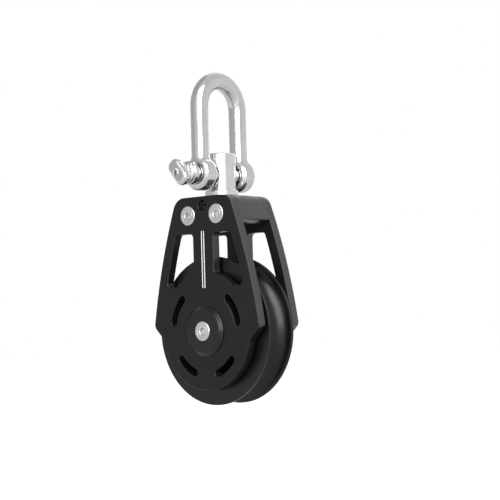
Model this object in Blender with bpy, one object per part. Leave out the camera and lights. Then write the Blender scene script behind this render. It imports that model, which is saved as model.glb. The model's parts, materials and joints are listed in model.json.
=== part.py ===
"""Single sheave block with a swivelling bow shackle, for 12 mm line.

Frame: metres, +Z up along the swivel axis, front towards -Y, left towards -X. The origin is
the centre of the swivel post's flat top face. The sheave axle runs along Y, below the origin.
Lengths in the code are in millimetres. Heights are measured from the axle centre and every
piece hangs from the empty "block_frame", which puts the post's top face at the origin.
"""

import math

import bmesh
import bpy
from mathutils import Matrix, Vector

MM = 0.001
SIDES = ((-1, "front"), (1, "rear"))

# ---------------------------------------------------------------- dimensions
GAP = 0.10                 # between faces that are clamped together
FIT = 0.15                 # radial clearance round the axle, cap spigots and post shank
EDGE = 0.3                 # usual edge chamfer
OVERCUT = 1.0              # how far a cutter runs past the face it opens

# cheek plates; "in" and "out" are distances of the faces from the middle plane
CHEEK_IN = 8.3
CHEEK_OUT = CHEEK_IN + 4.0
CHEEK_TOP = 55.2
CHEEK_CORNER_R = 6.25      # top corners
SIDE_R = 250.0             # long, slightly convex side
SIDE_CENTRE = (-217.4, -36.9)
SHOULDER_R = 2.6
SHOULDER_POINT = (28.69, 0.95)   # on the 45 degree underside of the shoulder
SHOULDER_FILLET = 2.5
LOBE_R = 24.26             # round lower end

# openings in each cheek
SPINE_HALF = 5.7           # half width of the upright between the windows
LEG_WIDTH = 4.75
WINDOW_TOP = 40.0
WINDOW_LOW_R = 24.3        # the lower edge follows the hub
WINDOW_FOOT = 18.3         # short level edge at the outer foot
WINDOW_CORNER = 1.8
SLOT_R = 18.2
SLOT_HALF = 1.6
SLOT_SPANS = ((11.2, 45.8), (-68.8, -39.7))  # centres of the round ends, degrees

# head block
HEAD_IN = CHEEK_IN - GAP   # half thickness
HEAD_BOTTOM = 43.4
HEAD_CORNER_R = 8.06
HEAD_CORNER_X = 13.84
HEAD_EDGE_R = 1.0

# countersunk screws, M4; tips are distances from the middle plane
SCREW_X = 7.96
SCREW_Z = 47.6
SCREW_HEAD_R = 3.98
SCREW_PROUD = 0.5
SCREW_RIM = 0.2            # cylindrical part of the head below the face
SCREW_SHANK_R = 1.95
SCREW_CONE = 2.03
SCREW_STEPS = 18
SCREW_HOLE_R = 2.12
SINK_R = SCREW_HEAD_R + 0.12
SINK_RIM = 0.32            # cylindrical part of the countersink
SOCKET_FLATS = 2.5
SOCKET_DEPTH = 1.6
HEAD_SCREW_TIP = 3.4
AXLE_SCREW_TIP = 5.6
HOLE_STEPS = 20

# swivel lock screw
LOCK_Z = 51.4
LOCK_HOLE_R = 2.15
LOCK_HOLE_END = 3.0
LOCK_R = 1.95
LOCK_POINT_R = 1.0
LOCK_Y = (-7.9, -5.6, -5.3, -4.45)  # socket end, start and end of the step, tip
LOCK_SOCKET_FLATS = 2.0
LOCK_SOCKET_Y = (-8.5, -6.6)

# hub
CAP_R = 10.36
CAP_H = 1.4
CAP_ROUND = 0.9
CAP_SPIGOT_R = 6.4
CAP_SPIGOT = 1.5
AXLE_R = 4.2
AXLE_HALF = 10.6
RACE_R = 6.0
RACE_BORE = AXLE_R + FIT
RACE_HALF = 8.15
WASHER_IN, WASHER_OUT = 6.25, 13.0
WASHER_Y = (7.62, CHEEK_IN - GAP)

# roller bearing
ROLLERS = 8
ROLLER_R = 2.1
ROLLER_PITCH_R = 8.3
ROLLER_HALF = 5.5
CAGE_IN = 7.1
CAGE_OUT = 9.5
CAGE_HALF = 7.2
POCKET_SIZE = (4.4, 2 * 5.75, 2 * 2.28)  # radial, along the axle, across

# sheave
BORE_R = 10.62             # outer race, cut in the sheave
SHEAVE_R = 30.5
SHEAVE_HALF = 7.5
RIM_LAND = 1.3
RIM_CHAMFER = 0.35
GROOVE_R = 6.2
GROOVE_END = 84            # the groove arc spans this many degrees each way
WEB_HALF = 5.0
WEB_R = (13.6, 22.6)
WEB_SLOPE = 0.8            # radial run of the recess walls

# swivel; pairs are (low, high) heights
POST_R = 6.05
POST_TOP = 73.3
POST_TOP_CHAMFER = 0.8
POST_SHOULDER_R = 7.0
POST_SHOULDER = (55.5, 57.9)
POST_SHOULDER_CHAMFER = 0.5
POST_SHANK_R = 4.15
POST_GROOVE_R = 3.6        # groove at the height of the lock screw
POST_GROOVE_HALF = (1.3, 1.5)  # half heights at the floor and at the mouth
POST_THREAD_R = 2.95
POST_TIP_CHAMFER = 0.4
POST_BOTTOM = 43.9
SWIVEL_BORE_R = 4.35
NUT_RECESS_R = 5.6
NUT_RECESS_Z = 48.3
THREAD_TOP = NUT_RECESS_Z - 0.3
WASHER_SEAT_R, WASHER_SEAT_Z = 7.35, 54.7  # shallow seat in the top of the head block
UPPER_WASHER_Z = (WASHER_SEAT_Z + GAP, POST_SHOULDER[0] - GAP)
NUT_R = 5.3
NUT_BORE_R = POST_THREAD_R + 0.12
NUT_Z = (44.2, 47.1)
NUT_SLOT_SIZE = (2.4, 1.5, 2.0)
NUT_SLOT_X = NUT_R - 0.2
LOWER_WASHER_Z = (NUT_Z[1] + GAP, 47.9)
LOWER_WASHER_R = (POST_THREAD_R + 0.45, NUT_RECESS_R - 0.2)

# shackle; y and z of its parts are measured from the pin axis
PIN_Z = 64.4
PIN_R = 3.45
PIN_HOLE_R = PIN_R + 0.25  # in the post and in the ears
POST_HOLE_HALF = 9         # half length of the cutter through the post
EAR_HOLE_HALF = 20         # half length of the cutter through the ears
BAR_R = 3.69
LEG_Y = 11.55
LEG_FOOT = 1.5             # height of the legs' lower ends, inside the ears
SHACKLE_SHIFT = -0.55      # the shackle sits a little to the front on its pin
BOW_TOP = 107.4            # above the axle centre
BAR_SIDES = 14
EAR_R = 6.9
EAR_HALF = 3.7
EAR_Y = (LEG_Y - EAR_HALF, LEG_Y + EAR_HALF)
EAR_CHAMFERS = (0.7, 1.0)  # inner and outer face

# shackle pin
PIN_COLLAR_R = 4.8
PIN_COLLAR = 2.2
PIN_GAP = 2.05             # between the collar and the front ear
PIN_TIP_Y = EAR_Y[1] + SHACKLE_SHIFT - 0.1
PIN_TIP_CHAMFER = 0.4
COLLAR_Y = -(EAR_Y[1] + PIN_GAP) + SHACKLE_SHIFT
COLLAR_FRONT_Y = COLLAR_Y - PIN_COLLAR
RING_R = 4.45              # smaller ring in front of the collar
RING_Y = COLLAR_FRONT_Y - 0.35
NECK_R = PIN_R + 0.3       # in front of the ring
NECK_END_Y = RING_Y - 2.6
THUMB_L = 5.9              # half length of the oval thumb head
THUMB_W = 3.35             # half width
THUMB_ROOT_Y = RING_Y - 1.0
THUMB_END_Y = -26.7
THUMB_TURN = -51.0         # degrees, long axis against +X
THUMB_POWER = 3.0          # superellipse exponent
THUMB_SIDES = 20
PIN_SOCKET_FLATS = 2.6
PIN_SOCKET_DEPTH = 2.4

# ---------------------------------------------------------------- scene and materials
for old in list(bpy.data.objects):
    bpy.data.objects.remove(old, do_unlink=True)
scene = bpy.context.scene
scene.unit_settings.system = "METRIC"

block_frame = bpy.data.objects.new("block_frame", None)
block_frame.location = (0, 0, -POST_TOP * MM)
scene.collection.objects.link(block_frame)


def material(name, colour, roughness, metallic):
    mat = bpy.data.materials.new(name)
    mat.use_nodes = True
    shader = mat.node_tree.nodes["Principled BSDF"]
    shader.inputs["Base Color"].default_value = (*colour, 1.0)
    shader.inputs["Roughness"].default_value = roughness
    shader.inputs["Metallic"].default_value = metallic
    mat.diffuse_color = (*colour, 1.0)
    return mat


BLACK = material("black_anodised", colour=(0.018, 0.018, 0.019), roughness=0.45, metallic=0.7)
BLACK_SHEAVE = material(
    "black_anodised_turned", colour=(0.022, 0.022, 0.023), roughness=0.38, metallic=0.7
)
STEEL = material("polished_stainless", colour=(0.62, 0.62, 0.63), roughness=0.16, metallic=1.0)
SCREW = material("satin_stainless_screw", colour=(0.55, 0.55, 0.56), roughness=0.3, metallic=1.0)
BEARING = material("bearing_plastic", colour=(0.62, 0.55, 0.38), roughness=0.5, metallic=0.0)
WASHER = material("washer_plastic", colour=(0.78, 0.78, 0.75), roughness=0.45, metallic=0.0)


# ---------------------------------------------------------------- objects
def make_object(name, bm, at):
    """Object from a bmesh whose points are in millimetres about the point at."""
    bmesh.ops.remove_doubles(bm, verts=bm.verts, dist=1e-5)
    bmesh.ops.recalc_face_normals(bm, faces=bm.faces)
    bmesh.ops.scale(bm, vec=(MM, MM, MM), verts=bm.verts)
    mesh = bpy.data.meshes.new(name)
    bm.to_mesh(mesh)
    bm.free()
    obj = bpy.data.objects.new(name, mesh)
    scene.collection.objects.link(obj)
    obj.parent = block_frame
    obj.location = Vector(at) * MM
    return obj


def piece(name, bm, mat, at=(0, 0, 0)):
    """Visible part with its material."""
    obj = make_object(name, bm, at)
    obj.data.materials.append(mat)
    obj.data.shade_smooth()
    obj.data.set_sharp_from_angle(angle=math.radians(32))
    return obj


def combine(obj, name, bm, at=(0, 0, 0), operation="DIFFERENCE"):
    """Cut a hidden helper out of obj, or join it on with operation UNION."""
    helper = make_object(name, bm, at)
    helper.hide_render = True
    helper.display_type = "WIRE"
    modifier = obj.modifiers.new(name, "BOOLEAN")
    modifier.operation = operation
    modifier.solver = "EXACT"
    modifier.object = helper


# ---------------------------------------------------------------- turned shapes
def turned(profile, steps, axis="Z", bm=None, centre=(0, 0, 0), closed=False):
    """Solid of revolution. profile is (radius, height) pairs; height runs along +axis."""
    bm = bm or bmesh.new()
    before = set(bm.verts)
    start = [bm.verts.new((r, 0, h)) for r, h in profile]
    edges = [bm.edges.new(pair) for pair in zip(start, start[1:])]
    if closed:
        edges.append(bm.edges.new((start[-1], start[0])))
    bmesh.ops.spin(
        bm, geom=start + edges, cent=(0, 0, 0), axis=(0, 0, 1),
        angle=math.tau, steps=steps, use_duplicate=False,
    )
    added = [v for v in bm.verts if v not in before]
    bmesh.ops.remove_doubles(bm, verts=added, dist=1e-4)
    added = [v for v in bm.verts if v not in before]
    if axis == "Y":
        # (x, y, z) -> (x, z, -y) keeps the shape right handed
        z_to_y = Matrix(((1, 0, 0, 0), (0, 0, 1, 0), (0, -1, 0, 0), (0, 0, 0, 1)))
        bmesh.ops.transform(bm, matrix=z_to_y, verts=added)
    bmesh.ops.translate(bm, vec=centre, verts=added)
    return bm


def facing(profile, side):
    """Profile with its heights turned towards the front (-1) or the rear (1)."""
    return [(r, side * h) for r, h in profile]


def cylinder(radius, start, end, steps, bm=None, centre=(0, 0, 0)):
    """Plain cylinder along Y."""
    return turned([(0, start), (radius, start), (radius, end), (0, end)], steps, "Y", bm, centre)


def chamfered_rod(radius, half, steps):
    """Rod along Y, centred, with chamfered ends."""
    inner, end = radius - EDGE, half - EDGE
    profile = [(0, -half), (inner, -half), (radius, -end), (radius, end), (inner, half), (0, half)]
    return turned(profile, steps, "Y")


def tube(inner, outer, start, end, axis="Y", steps=32):
    profile = [(inner, start), (outer, start), (outer, end), (inner, end)]
    return turned(profile, steps, axis, closed=True)


def arc(cx, cy, radius, start, end, n):
    """n + 1 points on a circle, angles in degrees."""
    angles = [math.radians(start + (end - start) * i / n) for i in range(n + 1)]
    return [(cx + radius * math.cos(a), cy + radius * math.sin(a)) for a in angles]


# ---------------------------------------------------------------- flat outlines
class Line:
    """Half plane through point, normal pointing to the inside."""

    def __init__(self, point, normal):
        self.point, self.normal = Vector(point), Vector(normal).normalized()

    def grad(self, q):
        return self.normal

    def dist(self, q):
        return (q - self.point).dot(self.normal)

    def walk(self, start, end):
        return [start, end]


class Circle:
    """Inside of a circle, or its outside when keep_in is False."""

    def __init__(self, centre, radius, keep_in=True, step=6.0):
        self.centre, self.radius, self.step = Vector(centre), radius, step
        self.sign = 1 if keep_in else -1

    def grad(self, q):
        return -self.sign * (q - self.centre).normalized()

    def dist(self, q):
        return self.sign * (self.radius - (q - self.centre).length)

    def walk(self, start, end):
        return sweep(self.centre, start, end, self.step)


def sweep(centre, start, end, step, longest=8.0):
    """Points round centre, the short way, at most step degrees and longest mm of arc apart."""
    u, v = start - centre, end - centre
    turn = math.atan2(u.x * v.y - u.y * v.x, u.dot(v))
    by_angle = math.ceil(abs(math.degrees(turn)) / step)
    n = max(1, by_angle, math.ceil(abs(turn) * u.length / longest))
    first = math.atan2(u.y, u.x)
    angles = [first + turn * i / n for i in range(n + 1)]
    return [centre + u.length * Vector((math.cos(a), math.sin(a))) for a in angles]


def meet(one, two, distance, guess):
    """Point at the same signed distance from both curves, by Newton's method."""
    q = Vector(guess)
    for _ in range(60):
        grad1, grad2 = one.grad(q), two.grad(q)
        miss1, miss2 = distance - one.dist(q), distance - two.dist(q)
        det = grad1.x * grad2.y - grad1.y * grad2.x
        step_x = (miss1 * grad2.y - miss2 * grad1.y) / det
        step_y = (grad1.x * miss2 - grad2.x * miss1) / det
        q = q + Vector((step_x, step_y))
    return q


def fillet(one, two, radius, guess):
    """Centre and both tangent points; guess is near the centre, a negative radius is concave."""
    centre = meet(one, two, radius, guess)
    return centre, centre - radius * one.grad(centre), centre - radius * two.grad(centre)


def rounded_outline(curves, radius, guesses, step=20.0):
    """Closed loop round curves; guesses[i] is near the corner between curve i and the next."""
    following = curves[1:] + curves[:1]
    corners = [fillet(*pair, radius, guess) for *pair, guess in zip(curves, following, guesses)]
    points = []
    for corner, curve, after in zip(corners, following, corners[1:] + corners[:1]):
        points += sweep(*corner, step)[:-1] + curve.walk(corner[2], after[1])[:-1]
    return [(p.x, p.y) for p in points]


def mirrored(points):
    return [(-x, z) for x, z in reversed(points)]


def symmetric(half):
    """Whole outline from its right half, which starts and ends on the centre line."""
    right = [(p.x, p.y) for p in half]
    return right + mirrored(right[1:-1])


def top_and_side(inset=0.0):
    """Points from the top centre round the top corner, then the side curve."""
    top = Line((0, CHEEK_TOP - inset), (0, -1))
    side = Circle(SIDE_CENTRE, SIDE_R - inset)
    corner = fillet(top, side, CHEEK_CORNER_R - inset, (11, 48))
    return [Vector((0, CHEEK_TOP - inset))] + sweep(*corner, 14), side


def cheek_outline(inset=0.0):
    """Outline of a cheek plate; inset moves every edge inwards."""
    points, side = top_and_side(inset)
    inward = Vector((-1, 1)).normalized()
    under = Line(Vector(SHOULDER_POINT) + inward * inset, inward)
    lobe = Circle((0, 0), LOBE_R - inset)
    shoulder = fillet(side, under, SHOULDER_R - inset, (27, 3))
    hollow = fillet(under, lobe, -(SHOULDER_FILLET + inset), (26.5, -4))
    points += side.walk(points[-1], shoulder[1])[1:-1] + sweep(*shoulder, 18)
    points += sweep(*hollow, 18)[:-1]
    points += sweep(lobe.centre, hollow[2], Vector((0, -LOBE_R + inset)), 8)
    return symmetric(points)


def head_outline():
    """Block between the cheeks: the cheeks' top and sides, with softer lower corners."""
    points, side = top_and_side()
    soft = Circle((HEAD_CORNER_X, HEAD_BOTTOM + HEAD_CORNER_R), HEAD_CORNER_R)
    edge = fillet(side, soft, HEAD_EDGE_R, (18, 46))
    points += side.walk(points[-1], edge[1])[1:-1] + sweep(*edge, 15)[:-1]
    points += sweep(soft.centre, edge[2], Vector((HEAD_CORNER_X, HEAD_BOTTOM)), 12)
    return symmetric(points + [Vector((0, HEAD_BOTTOM))])


def window_outline():
    """Right-hand window of a cheek."""
    spine = Line((SPINE_HALF, 30), (1, 0))
    top = Line((10, WINDOW_TOP), (0, -1))
    side = Circle(SIDE_CENTRE, SIDE_R - LEG_WIDTH, step=3.0)
    foot = Line((18, WINDOW_FOOT), (0, 1))
    low = Circle((0, 0), WINDOW_LOW_R, keep_in=False)
    guesses = [(7.5, 38), (14, 38), (19, 20), (17, 20), (7.5, 25)]
    return rounded_outline([spine, top, side, foot, low], WINDOW_CORNER, guesses)


def slot_outline(start, end):
    """Curved slot round the axle with round ends."""

    def cap(at, first):
        x, z = SLOT_R * math.cos(math.radians(at)), SLOT_R * math.sin(math.radians(at))
        return arc(x, z, SLOT_HALF, first, first + 180, 5)[1:-1]

    outer = arc(0, 0, SLOT_R + SLOT_HALF, start, end, 6)
    inner = arc(0, 0, SLOT_R - SLOT_HALF, end, start, 5)
    return outer + cap(end, end) + inner + cap(start, start + 180)


# ---------------------------------------------------------------- prisms, lofts, boxes
def prism(points, y0, y1, bm=None):
    """Upright plate: a loop of (x, z) points between two depths."""
    bm = bm or bmesh.new()
    face = bm.faces.new([bm.verts.new((x, y0, z)) for x, z in points])
    moved = bmesh.ops.extrude_face_region(bm, geom=[face])["geom"]
    far = [v for v in moved if isinstance(v, bmesh.types.BMVert)]
    bmesh.ops.translate(bm, vec=(0, y1 - y0, 0), verts=far)
    return bm


def hexagon(flats, first=30):
    """Hexagon with the given distance across flats, first corner at an angle in degrees."""
    return arc(0, 0, flats / math.sqrt(3), first, first + 360, 6)[:-1]


def loft(rings):
    """Closed body through rings of equal size, capped at both ends."""
    bm = bmesh.new()
    rows = [[bm.verts.new(p) for p in ring] for ring in rings]
    n = len(rows[0])
    for one, two in zip(rows, rows[1:]):
        for i in range(n):
            bm.faces.new((one[i], one[(i + 1) % n], two[(i + 1) % n], two[i]))
    bm.faces.new(list(reversed(rows[0])))
    bm.faces.new(rows[-1])
    return bm


def add_box(bm, size, at):
    verts = bmesh.ops.create_cube(bm, size=1.0)["verts"]
    bmesh.ops.scale(bm, vec=size, verts=verts)
    bmesh.ops.translate(bm, vec=at, verts=verts)
    return verts


# ---------------------------------------------------------------- cheeks and head block
def cheek_openings(side):
    near, far = side * (CHEEK_IN - OVERCUT), side * (CHEEK_OUT + OVERCUT)
    cut = bmesh.new()
    for loop in [window_outline()] + [slot_outline(*span) for span in SLOT_SPANS]:
        prism(loop, near, far, cut)
        prism(mirrored(loop), near, far, cut)

    sink_top = CHEEK_OUT + 1.2
    sink_low = CHEEK_OUT - SINK_RIM
    countersink = [
        (0, sink_top),
        (SINK_R, sink_top),
        (SINK_R, sink_low),
        (SCREW_HOLE_R, sink_low - SCREW_CONE),
        (SCREW_HOLE_R, CHEEK_IN - OVERCUT),
        (0, CHEEK_IN - OVERCUT),
    ]
    for x in (-SCREW_X, SCREW_X):
        turned(facing(countersink, side), SCREW_STEPS, "Y", cut, (x, 0, SCREW_Z))

    cylinder(LOCK_HOLE_R, far, near, HOLE_STEPS, cut, (0, 0, LOCK_Z))

    # stepped hole for the cap's spigot and the axle
    step_y = side * (CHEEK_OUT - CAP_SPIGOT - GAP)
    spigot_hole, axle_hole = CAP_SPIGOT_R + FIT, AXLE_R + FIT
    profile = [(0, far), (spigot_hole, far), (spigot_hole, step_y)]
    profile += [(axle_hole, step_y), (axle_hole, near), (0, near)]
    turned(profile, 32, "Y", cut)
    return cut


def cheek(name, side):
    """Cheek plate with a chamfered outer face."""
    sections = [(CHEEK_IN, 0.0), (CHEEK_OUT - EDGE, 0.0), (CHEEK_OUT, EDGE)]  # distance, inset
    rings = [[(x, side * y, z) for x, z in cheek_outline(inset)] for y, inset in sections]
    obj = piece(name, loft(rings), BLACK)
    combine(obj, name + "_openings", cheek_openings(side))


def head_block():
    head = piece("head_block", prism(head_outline(), -HEAD_IN, HEAD_IN), BLACK)

    holes = bmesh.new()
    for side, _ in SIDES:
        mouth, end = side * (HEAD_IN + OVERCUT), side * (HEAD_SCREW_TIP - 0.3)
        for x in (-SCREW_X, SCREW_X):
            cylinder(SCREW_HOLE_R, mouth, end, HOLE_STEPS, holes, (x, 0, SCREW_Z))
    combine(head, "head_screw_holes", holes)

    bore = [
        (0, CHEEK_TOP + OVERCUT),
        (WASHER_SEAT_R, CHEEK_TOP + OVERCUT),
        (WASHER_SEAT_R, WASHER_SEAT_Z),
        (SWIVEL_BORE_R, WASHER_SEAT_Z),
        (SWIVEL_BORE_R, NUT_RECESS_Z),
        (NUT_RECESS_R, NUT_RECESS_Z),
        (NUT_RECESS_R, HEAD_BOTTOM - OVERCUT),
        (0, HEAD_BOTTOM - OVERCUT),
    ]
    combine(head, "head_swivel_bore", turned(bore, 40))

    lock = cylinder(
        LOCK_HOLE_R, -HEAD_IN - OVERCUT, -LOCK_HOLE_END, HOLE_STEPS, centre=(0, 0, LOCK_Z)
    )
    combine(head, "head_lock_bore", lock)


# ---------------------------------------------------------------- screws
def countersunk_screw(name, x, z, face, tip, side):
    """Screw along Y whose head stands SCREW_PROUD above the face."""
    top = face + SCREW_PROUD
    rim_low = face - SCREW_RIM
    profile = [
        (0, top),
        (SCREW_HEAD_R - 0.35, top),
        (SCREW_HEAD_R, top - EDGE),
        (SCREW_HEAD_R, rim_low),
        (SCREW_SHANK_R, rim_low - SCREW_CONE),
        (SCREW_SHANK_R, tip + 0.5),
        (SCREW_SHANK_R - 0.5, tip),
        (0, tip),
    ]
    at = (x, 0, z)
    obj = piece(name, turned(facing(profile, side), SCREW_STEPS, "Y"), SCREW, at)
    socket = prism(hexagon(SOCKET_FLATS), side * (top + 0.6), side * (top - SOCKET_DEPTH))
    combine(obj, name + "_socket", socket, at)


def head_screws():
    for side, where in SIDES:
        for x, hand in ((-SCREW_X, "left"), (SCREW_X, "right")):
            name = f"head_screw_{where}_{hand}"
            countersunk_screw(name, x, SCREW_Z, CHEEK_OUT, HEAD_SCREW_TIP, side)


def swivel_lock_screw():
    """Grub screw in the front of the head block, with a thin point towards the post."""
    mouth, step_start, step_end, tip = LOCK_Y
    profile = [
        (0, mouth),
        (LOCK_R - EDGE, mouth),
        (LOCK_R, mouth + EDGE),
        (LOCK_R, step_start),
        (LOCK_POINT_R, step_end),
        (LOCK_POINT_R, tip),
        (0, tip),
    ]
    at = (0, 0, LOCK_Z)
    obj = piece("swivel_lock_screw", turned(profile, 20, "Y"), SCREW, at)
    combine(obj, "swivel_lock_socket", prism(hexagon(LOCK_SOCKET_FLATS), *LOCK_SOCKET_Y), at)


# ---------------------------------------------------------------- hub
def hub_cap(name, side):
    """Round cap on the cheek, with a spigot into it and a countersunk hole."""
    low, high = CHEEK_OUT + GAP, CHEEK_OUT + CAP_H
    spigot_end = CHEEK_OUT - CAP_SPIGOT
    profile = [
        (SINK_R, high),
        *arc(CAP_R - CAP_ROUND, high - CAP_ROUND, CAP_ROUND, 90, 0, 3),
        (CAP_R, low),
        (CAP_SPIGOT_R, low),
        (CAP_SPIGOT_R, spigot_end),
        (SCREW_HOLE_R, spigot_end),
        (SCREW_HOLE_R, high - SINK_RIM - SCREW_CONE),
        (SINK_R, high - SINK_RIM),
    ]
    piece(name, turned(facing(profile, side), 32, "Y", closed=True), BLACK)


def axle():
    obj = piece("axle", chamfered_rod(AXLE_R, AXLE_HALF, 24), STEEL)
    holes = bmesh.new()
    for side, _ in SIDES:
        mouth, end = side * (AXLE_HALF + OVERCUT), side * (AXLE_SCREW_TIP - 0.4)
        cylinder(SCREW_HOLE_R, mouth, end, HOLE_STEPS, holes)
    combine(obj, "axle_threads", holes)


def hub():
    for side, where in SIDES:
        hub_cap(f"hub_cap_{where}", side)
        name = f"axle_screw_{where}"
        countersunk_screw(name, 0, 0, CHEEK_OUT + CAP_H, AXLE_SCREW_TIP, side)
    axle()
    piece("inner_race", tube(RACE_BORE, RACE_R, -RACE_HALF, RACE_HALF), STEEL)
    for side, where in SIDES:
        near, far = (side * y for y in WASHER_Y)
        piece(f"thrust_washer_{where}", tube(WASHER_IN, WASHER_OUT, near, far), WASHER)


# ---------------------------------------------------------------- roller bearing
def roller_cage():
    cage = piece("roller_cage", tube(CAGE_IN, CAGE_OUT, -CAGE_HALF, CAGE_HALF), BEARING)
    pockets = bmesh.new()
    for i in range(ROLLERS):
        pocket = add_box(pockets, POCKET_SIZE, (ROLLER_PITCH_R, 0, 0))
        rotation = Matrix.Rotation(math.tau * i / ROLLERS, 3, "Y")
        bmesh.ops.rotate(pockets, verts=pocket, cent=(0, 0, 0), matrix=rotation)
    combine(cage, "cage_pockets", pockets)


def bearing_rollers():
    for i in range(ROLLERS):
        # a positive turn about Y takes +X towards -Z
        angle = math.tau * i / ROLLERS
        at = (ROLLER_PITCH_R * math.cos(angle), 0, -ROLLER_PITCH_R * math.sin(angle))
        piece(f"bearing_roller_{i + 1}", chamfered_rod(ROLLER_R, ROLLER_HALF, 14), STEEL, at)


# ---------------------------------------------------------------- sheave
def sheave():
    """Grooved wheel with a ring-shaped recess in each face."""
    face = -SHEAVE_HALF
    web_in, web_out = WEB_R
    front = [
        (BORE_R, face + EDGE),
        (BORE_R + EDGE, face),
        (web_in, face),
        (web_in + WEB_SLOPE, -WEB_HALF),
        (web_out - WEB_SLOPE, -WEB_HALF),
        (web_out, face),
        (SHEAVE_R - RIM_CHAMFER, face),
        (SHEAVE_R, face + RIM_CHAMFER),
        (SHEAVE_R, face + RIM_LAND - RIM_CHAMFER),
    ]
    groove = [(SHEAVE_R - r, h) for r, h in arc(0, 0, GROOVE_R, -GROOVE_END, GROOVE_END, 8)]
    rear = facing(reversed(front), -1)
    piece("sheave", turned(front + groove + rear, 44, "Y", closed=True), BLACK_SHEAVE)


# ---------------------------------------------------------------- swivel
def swivel_post():
    """Post with a shoulder, a grooved shank and a thinner lower end for the nut."""
    shoulder_low, shoulder_high = POST_SHOULDER
    floor, mouth = POST_GROOVE_HALF
    profile = [
        (0, POST_BOTTOM),
        (POST_THREAD_R - POST_TIP_CHAMFER, POST_BOTTOM),
        (POST_THREAD_R, POST_BOTTOM + POST_TIP_CHAMFER),
        (POST_THREAD_R, THREAD_TOP),
        (POST_SHANK_R, THREAD_TOP),
        (POST_SHANK_R, LOCK_Z - mouth),
        (POST_GROOVE_R, LOCK_Z - floor),
        (POST_GROOVE_R, LOCK_Z + floor),
        (POST_SHANK_R, LOCK_Z + mouth),
        (POST_SHANK_R, shoulder_low),
        (POST_SHOULDER_R - EDGE, shoulder_low),
        (POST_SHOULDER_R, shoulder_low + EDGE),
        (POST_SHOULDER_R, shoulder_high - POST_SHOULDER_CHAMFER),
        (POST_SHOULDER_R - POST_SHOULDER_CHAMFER, shoulder_high),
        (POST_R, shoulder_high + 0.3),
        (POST_R, POST_TOP - POST_TOP_CHAMFER),
        (POST_R - POST_TOP_CHAMFER, POST_TOP),
        (0, POST_TOP),
    ]
    at = (0, 0, PIN_Z)
    post = piece("swivel_post", turned([(r, h - PIN_Z) for r, h in profile], 28), STEEL, at)
    hole = cylinder(PIN_HOLE_R, -POST_HOLE_HALF, POST_HOLE_HALF, 28)
    combine(post, "post_pin_hole", hole, at)


def swivel_washers():
    upper = tube(POST_SHANK_R + FIT, POST_SHOULDER_R, *UPPER_WASHER_Z, axis="Z")
    piece("swivel_washer_upper", upper, WASHER)
    lower = tube(*LOWER_WASHER_R, *LOWER_WASHER_Z, axis="Z", steps=24)
    piece("swivel_washer_lower", lower, WASHER)


def swivel_nut():
    """Round nut with two slots across its lower face."""
    low, high = NUT_Z
    profile = [(NUT_BORE_R, low), (NUT_R - EDGE, low), (NUT_R, low + EDGE)]
    profile += [(NUT_R, high), (NUT_BORE_R, high)]
    nut = piece("swivel_nut", turned(profile, 24, closed=True), STEEL)
    slots = bmesh.new()
    for side in (-1, 1):
        add_box(slots, NUT_SLOT_SIZE, (side * NUT_SLOT_X, 0, low))
    combine(nut, "nut_spanner_slots", slots)


# ---------------------------------------------------------------- shackle
def bow_ring(y, z, heading):
    """Section of the bar; heading is the path's direction in YZ, degrees from +Y."""
    x_axis = Vector((1, 0, 0))
    angle = math.radians(heading)
    across = Vector((0, math.cos(angle), math.sin(angle))).cross(x_axis)
    centre = Vector((0, y + SHACKLE_SHIFT, z))
    turns = [math.tau * (i + 0.5) / BAR_SIDES for i in range(BAR_SIDES)]
    return [centre + BAR_R * (math.cos(q) * x_axis + math.sin(q) * across) for q in turns]


def shackle_bow():
    """U-shaped bar with a round ear on each leg, bored for the pin."""
    at = (0, 0, PIN_Z)
    arch_z = BOW_TOP - BAR_R - LEG_Y - PIN_Z
    stations = [(-LEG_Y, LEG_FOOT, 90.0), (-LEG_Y, arch_z, 90.0)]  # y, z, heading
    for degrees in range(15, 180, 15):
        a = math.radians(degrees)
        y, z = -LEG_Y * math.cos(a), arch_z + LEG_Y * math.sin(a)
        stations.append((y, z, 90.0 - degrees))
    stations += [(LEG_Y, arch_z, -90.0), (LEG_Y, LEG_FOOT, -90.0)]
    bow = piece("shackle_bow", loft([bow_ring(*station) for station in stations]), STEEL, at)

    inner_y, outer_y = EAR_Y
    inner_chamfer, outer_chamfer = EAR_CHAMFERS
    profile = [
        (0, inner_y),
        (EAR_R - inner_chamfer, inner_y),
        (EAR_R, inner_y + inner_chamfer),
        (EAR_R, outer_y - outer_chamfer),
        (EAR_R - outer_chamfer, outer_y),
        (0, outer_y),
    ]
    ears = bmesh.new()
    for side, _ in SIDES:
        turned([(r, side * h + SHACKLE_SHIFT) for r, h in profile], 28, "Y", ears)
    combine(bow, "shackle_ears", ears, at, "UNION")
    holes = cylinder(PIN_HOLE_R, -EAR_HOLE_HALF, EAR_HOLE_HALF, 28)
    combine(bow, "shackle_pin_holes", holes, at)


def thumb_ring(y, length_scale, width_scale):
    """Turned superellipse section of the thumb head."""
    turn = math.radians(THUMB_TURN)
    ring = []
    for i in range(THUMB_SIDES):
        q = math.tau * i / THUMB_SIDES
        c, s = math.cos(q), math.sin(q)
        k = (abs(c) ** THUMB_POWER + abs(s) ** THUMB_POWER) ** (-1 / THUMB_POWER)
        along, across = THUMB_L * length_scale * k * c, THUMB_W * width_scale * k * s
        x = along * math.cos(turn) - across * math.sin(turn)
        z = along * math.sin(turn) + across * math.cos(turn)
        ring.append((x, y, z))
    return ring


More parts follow.
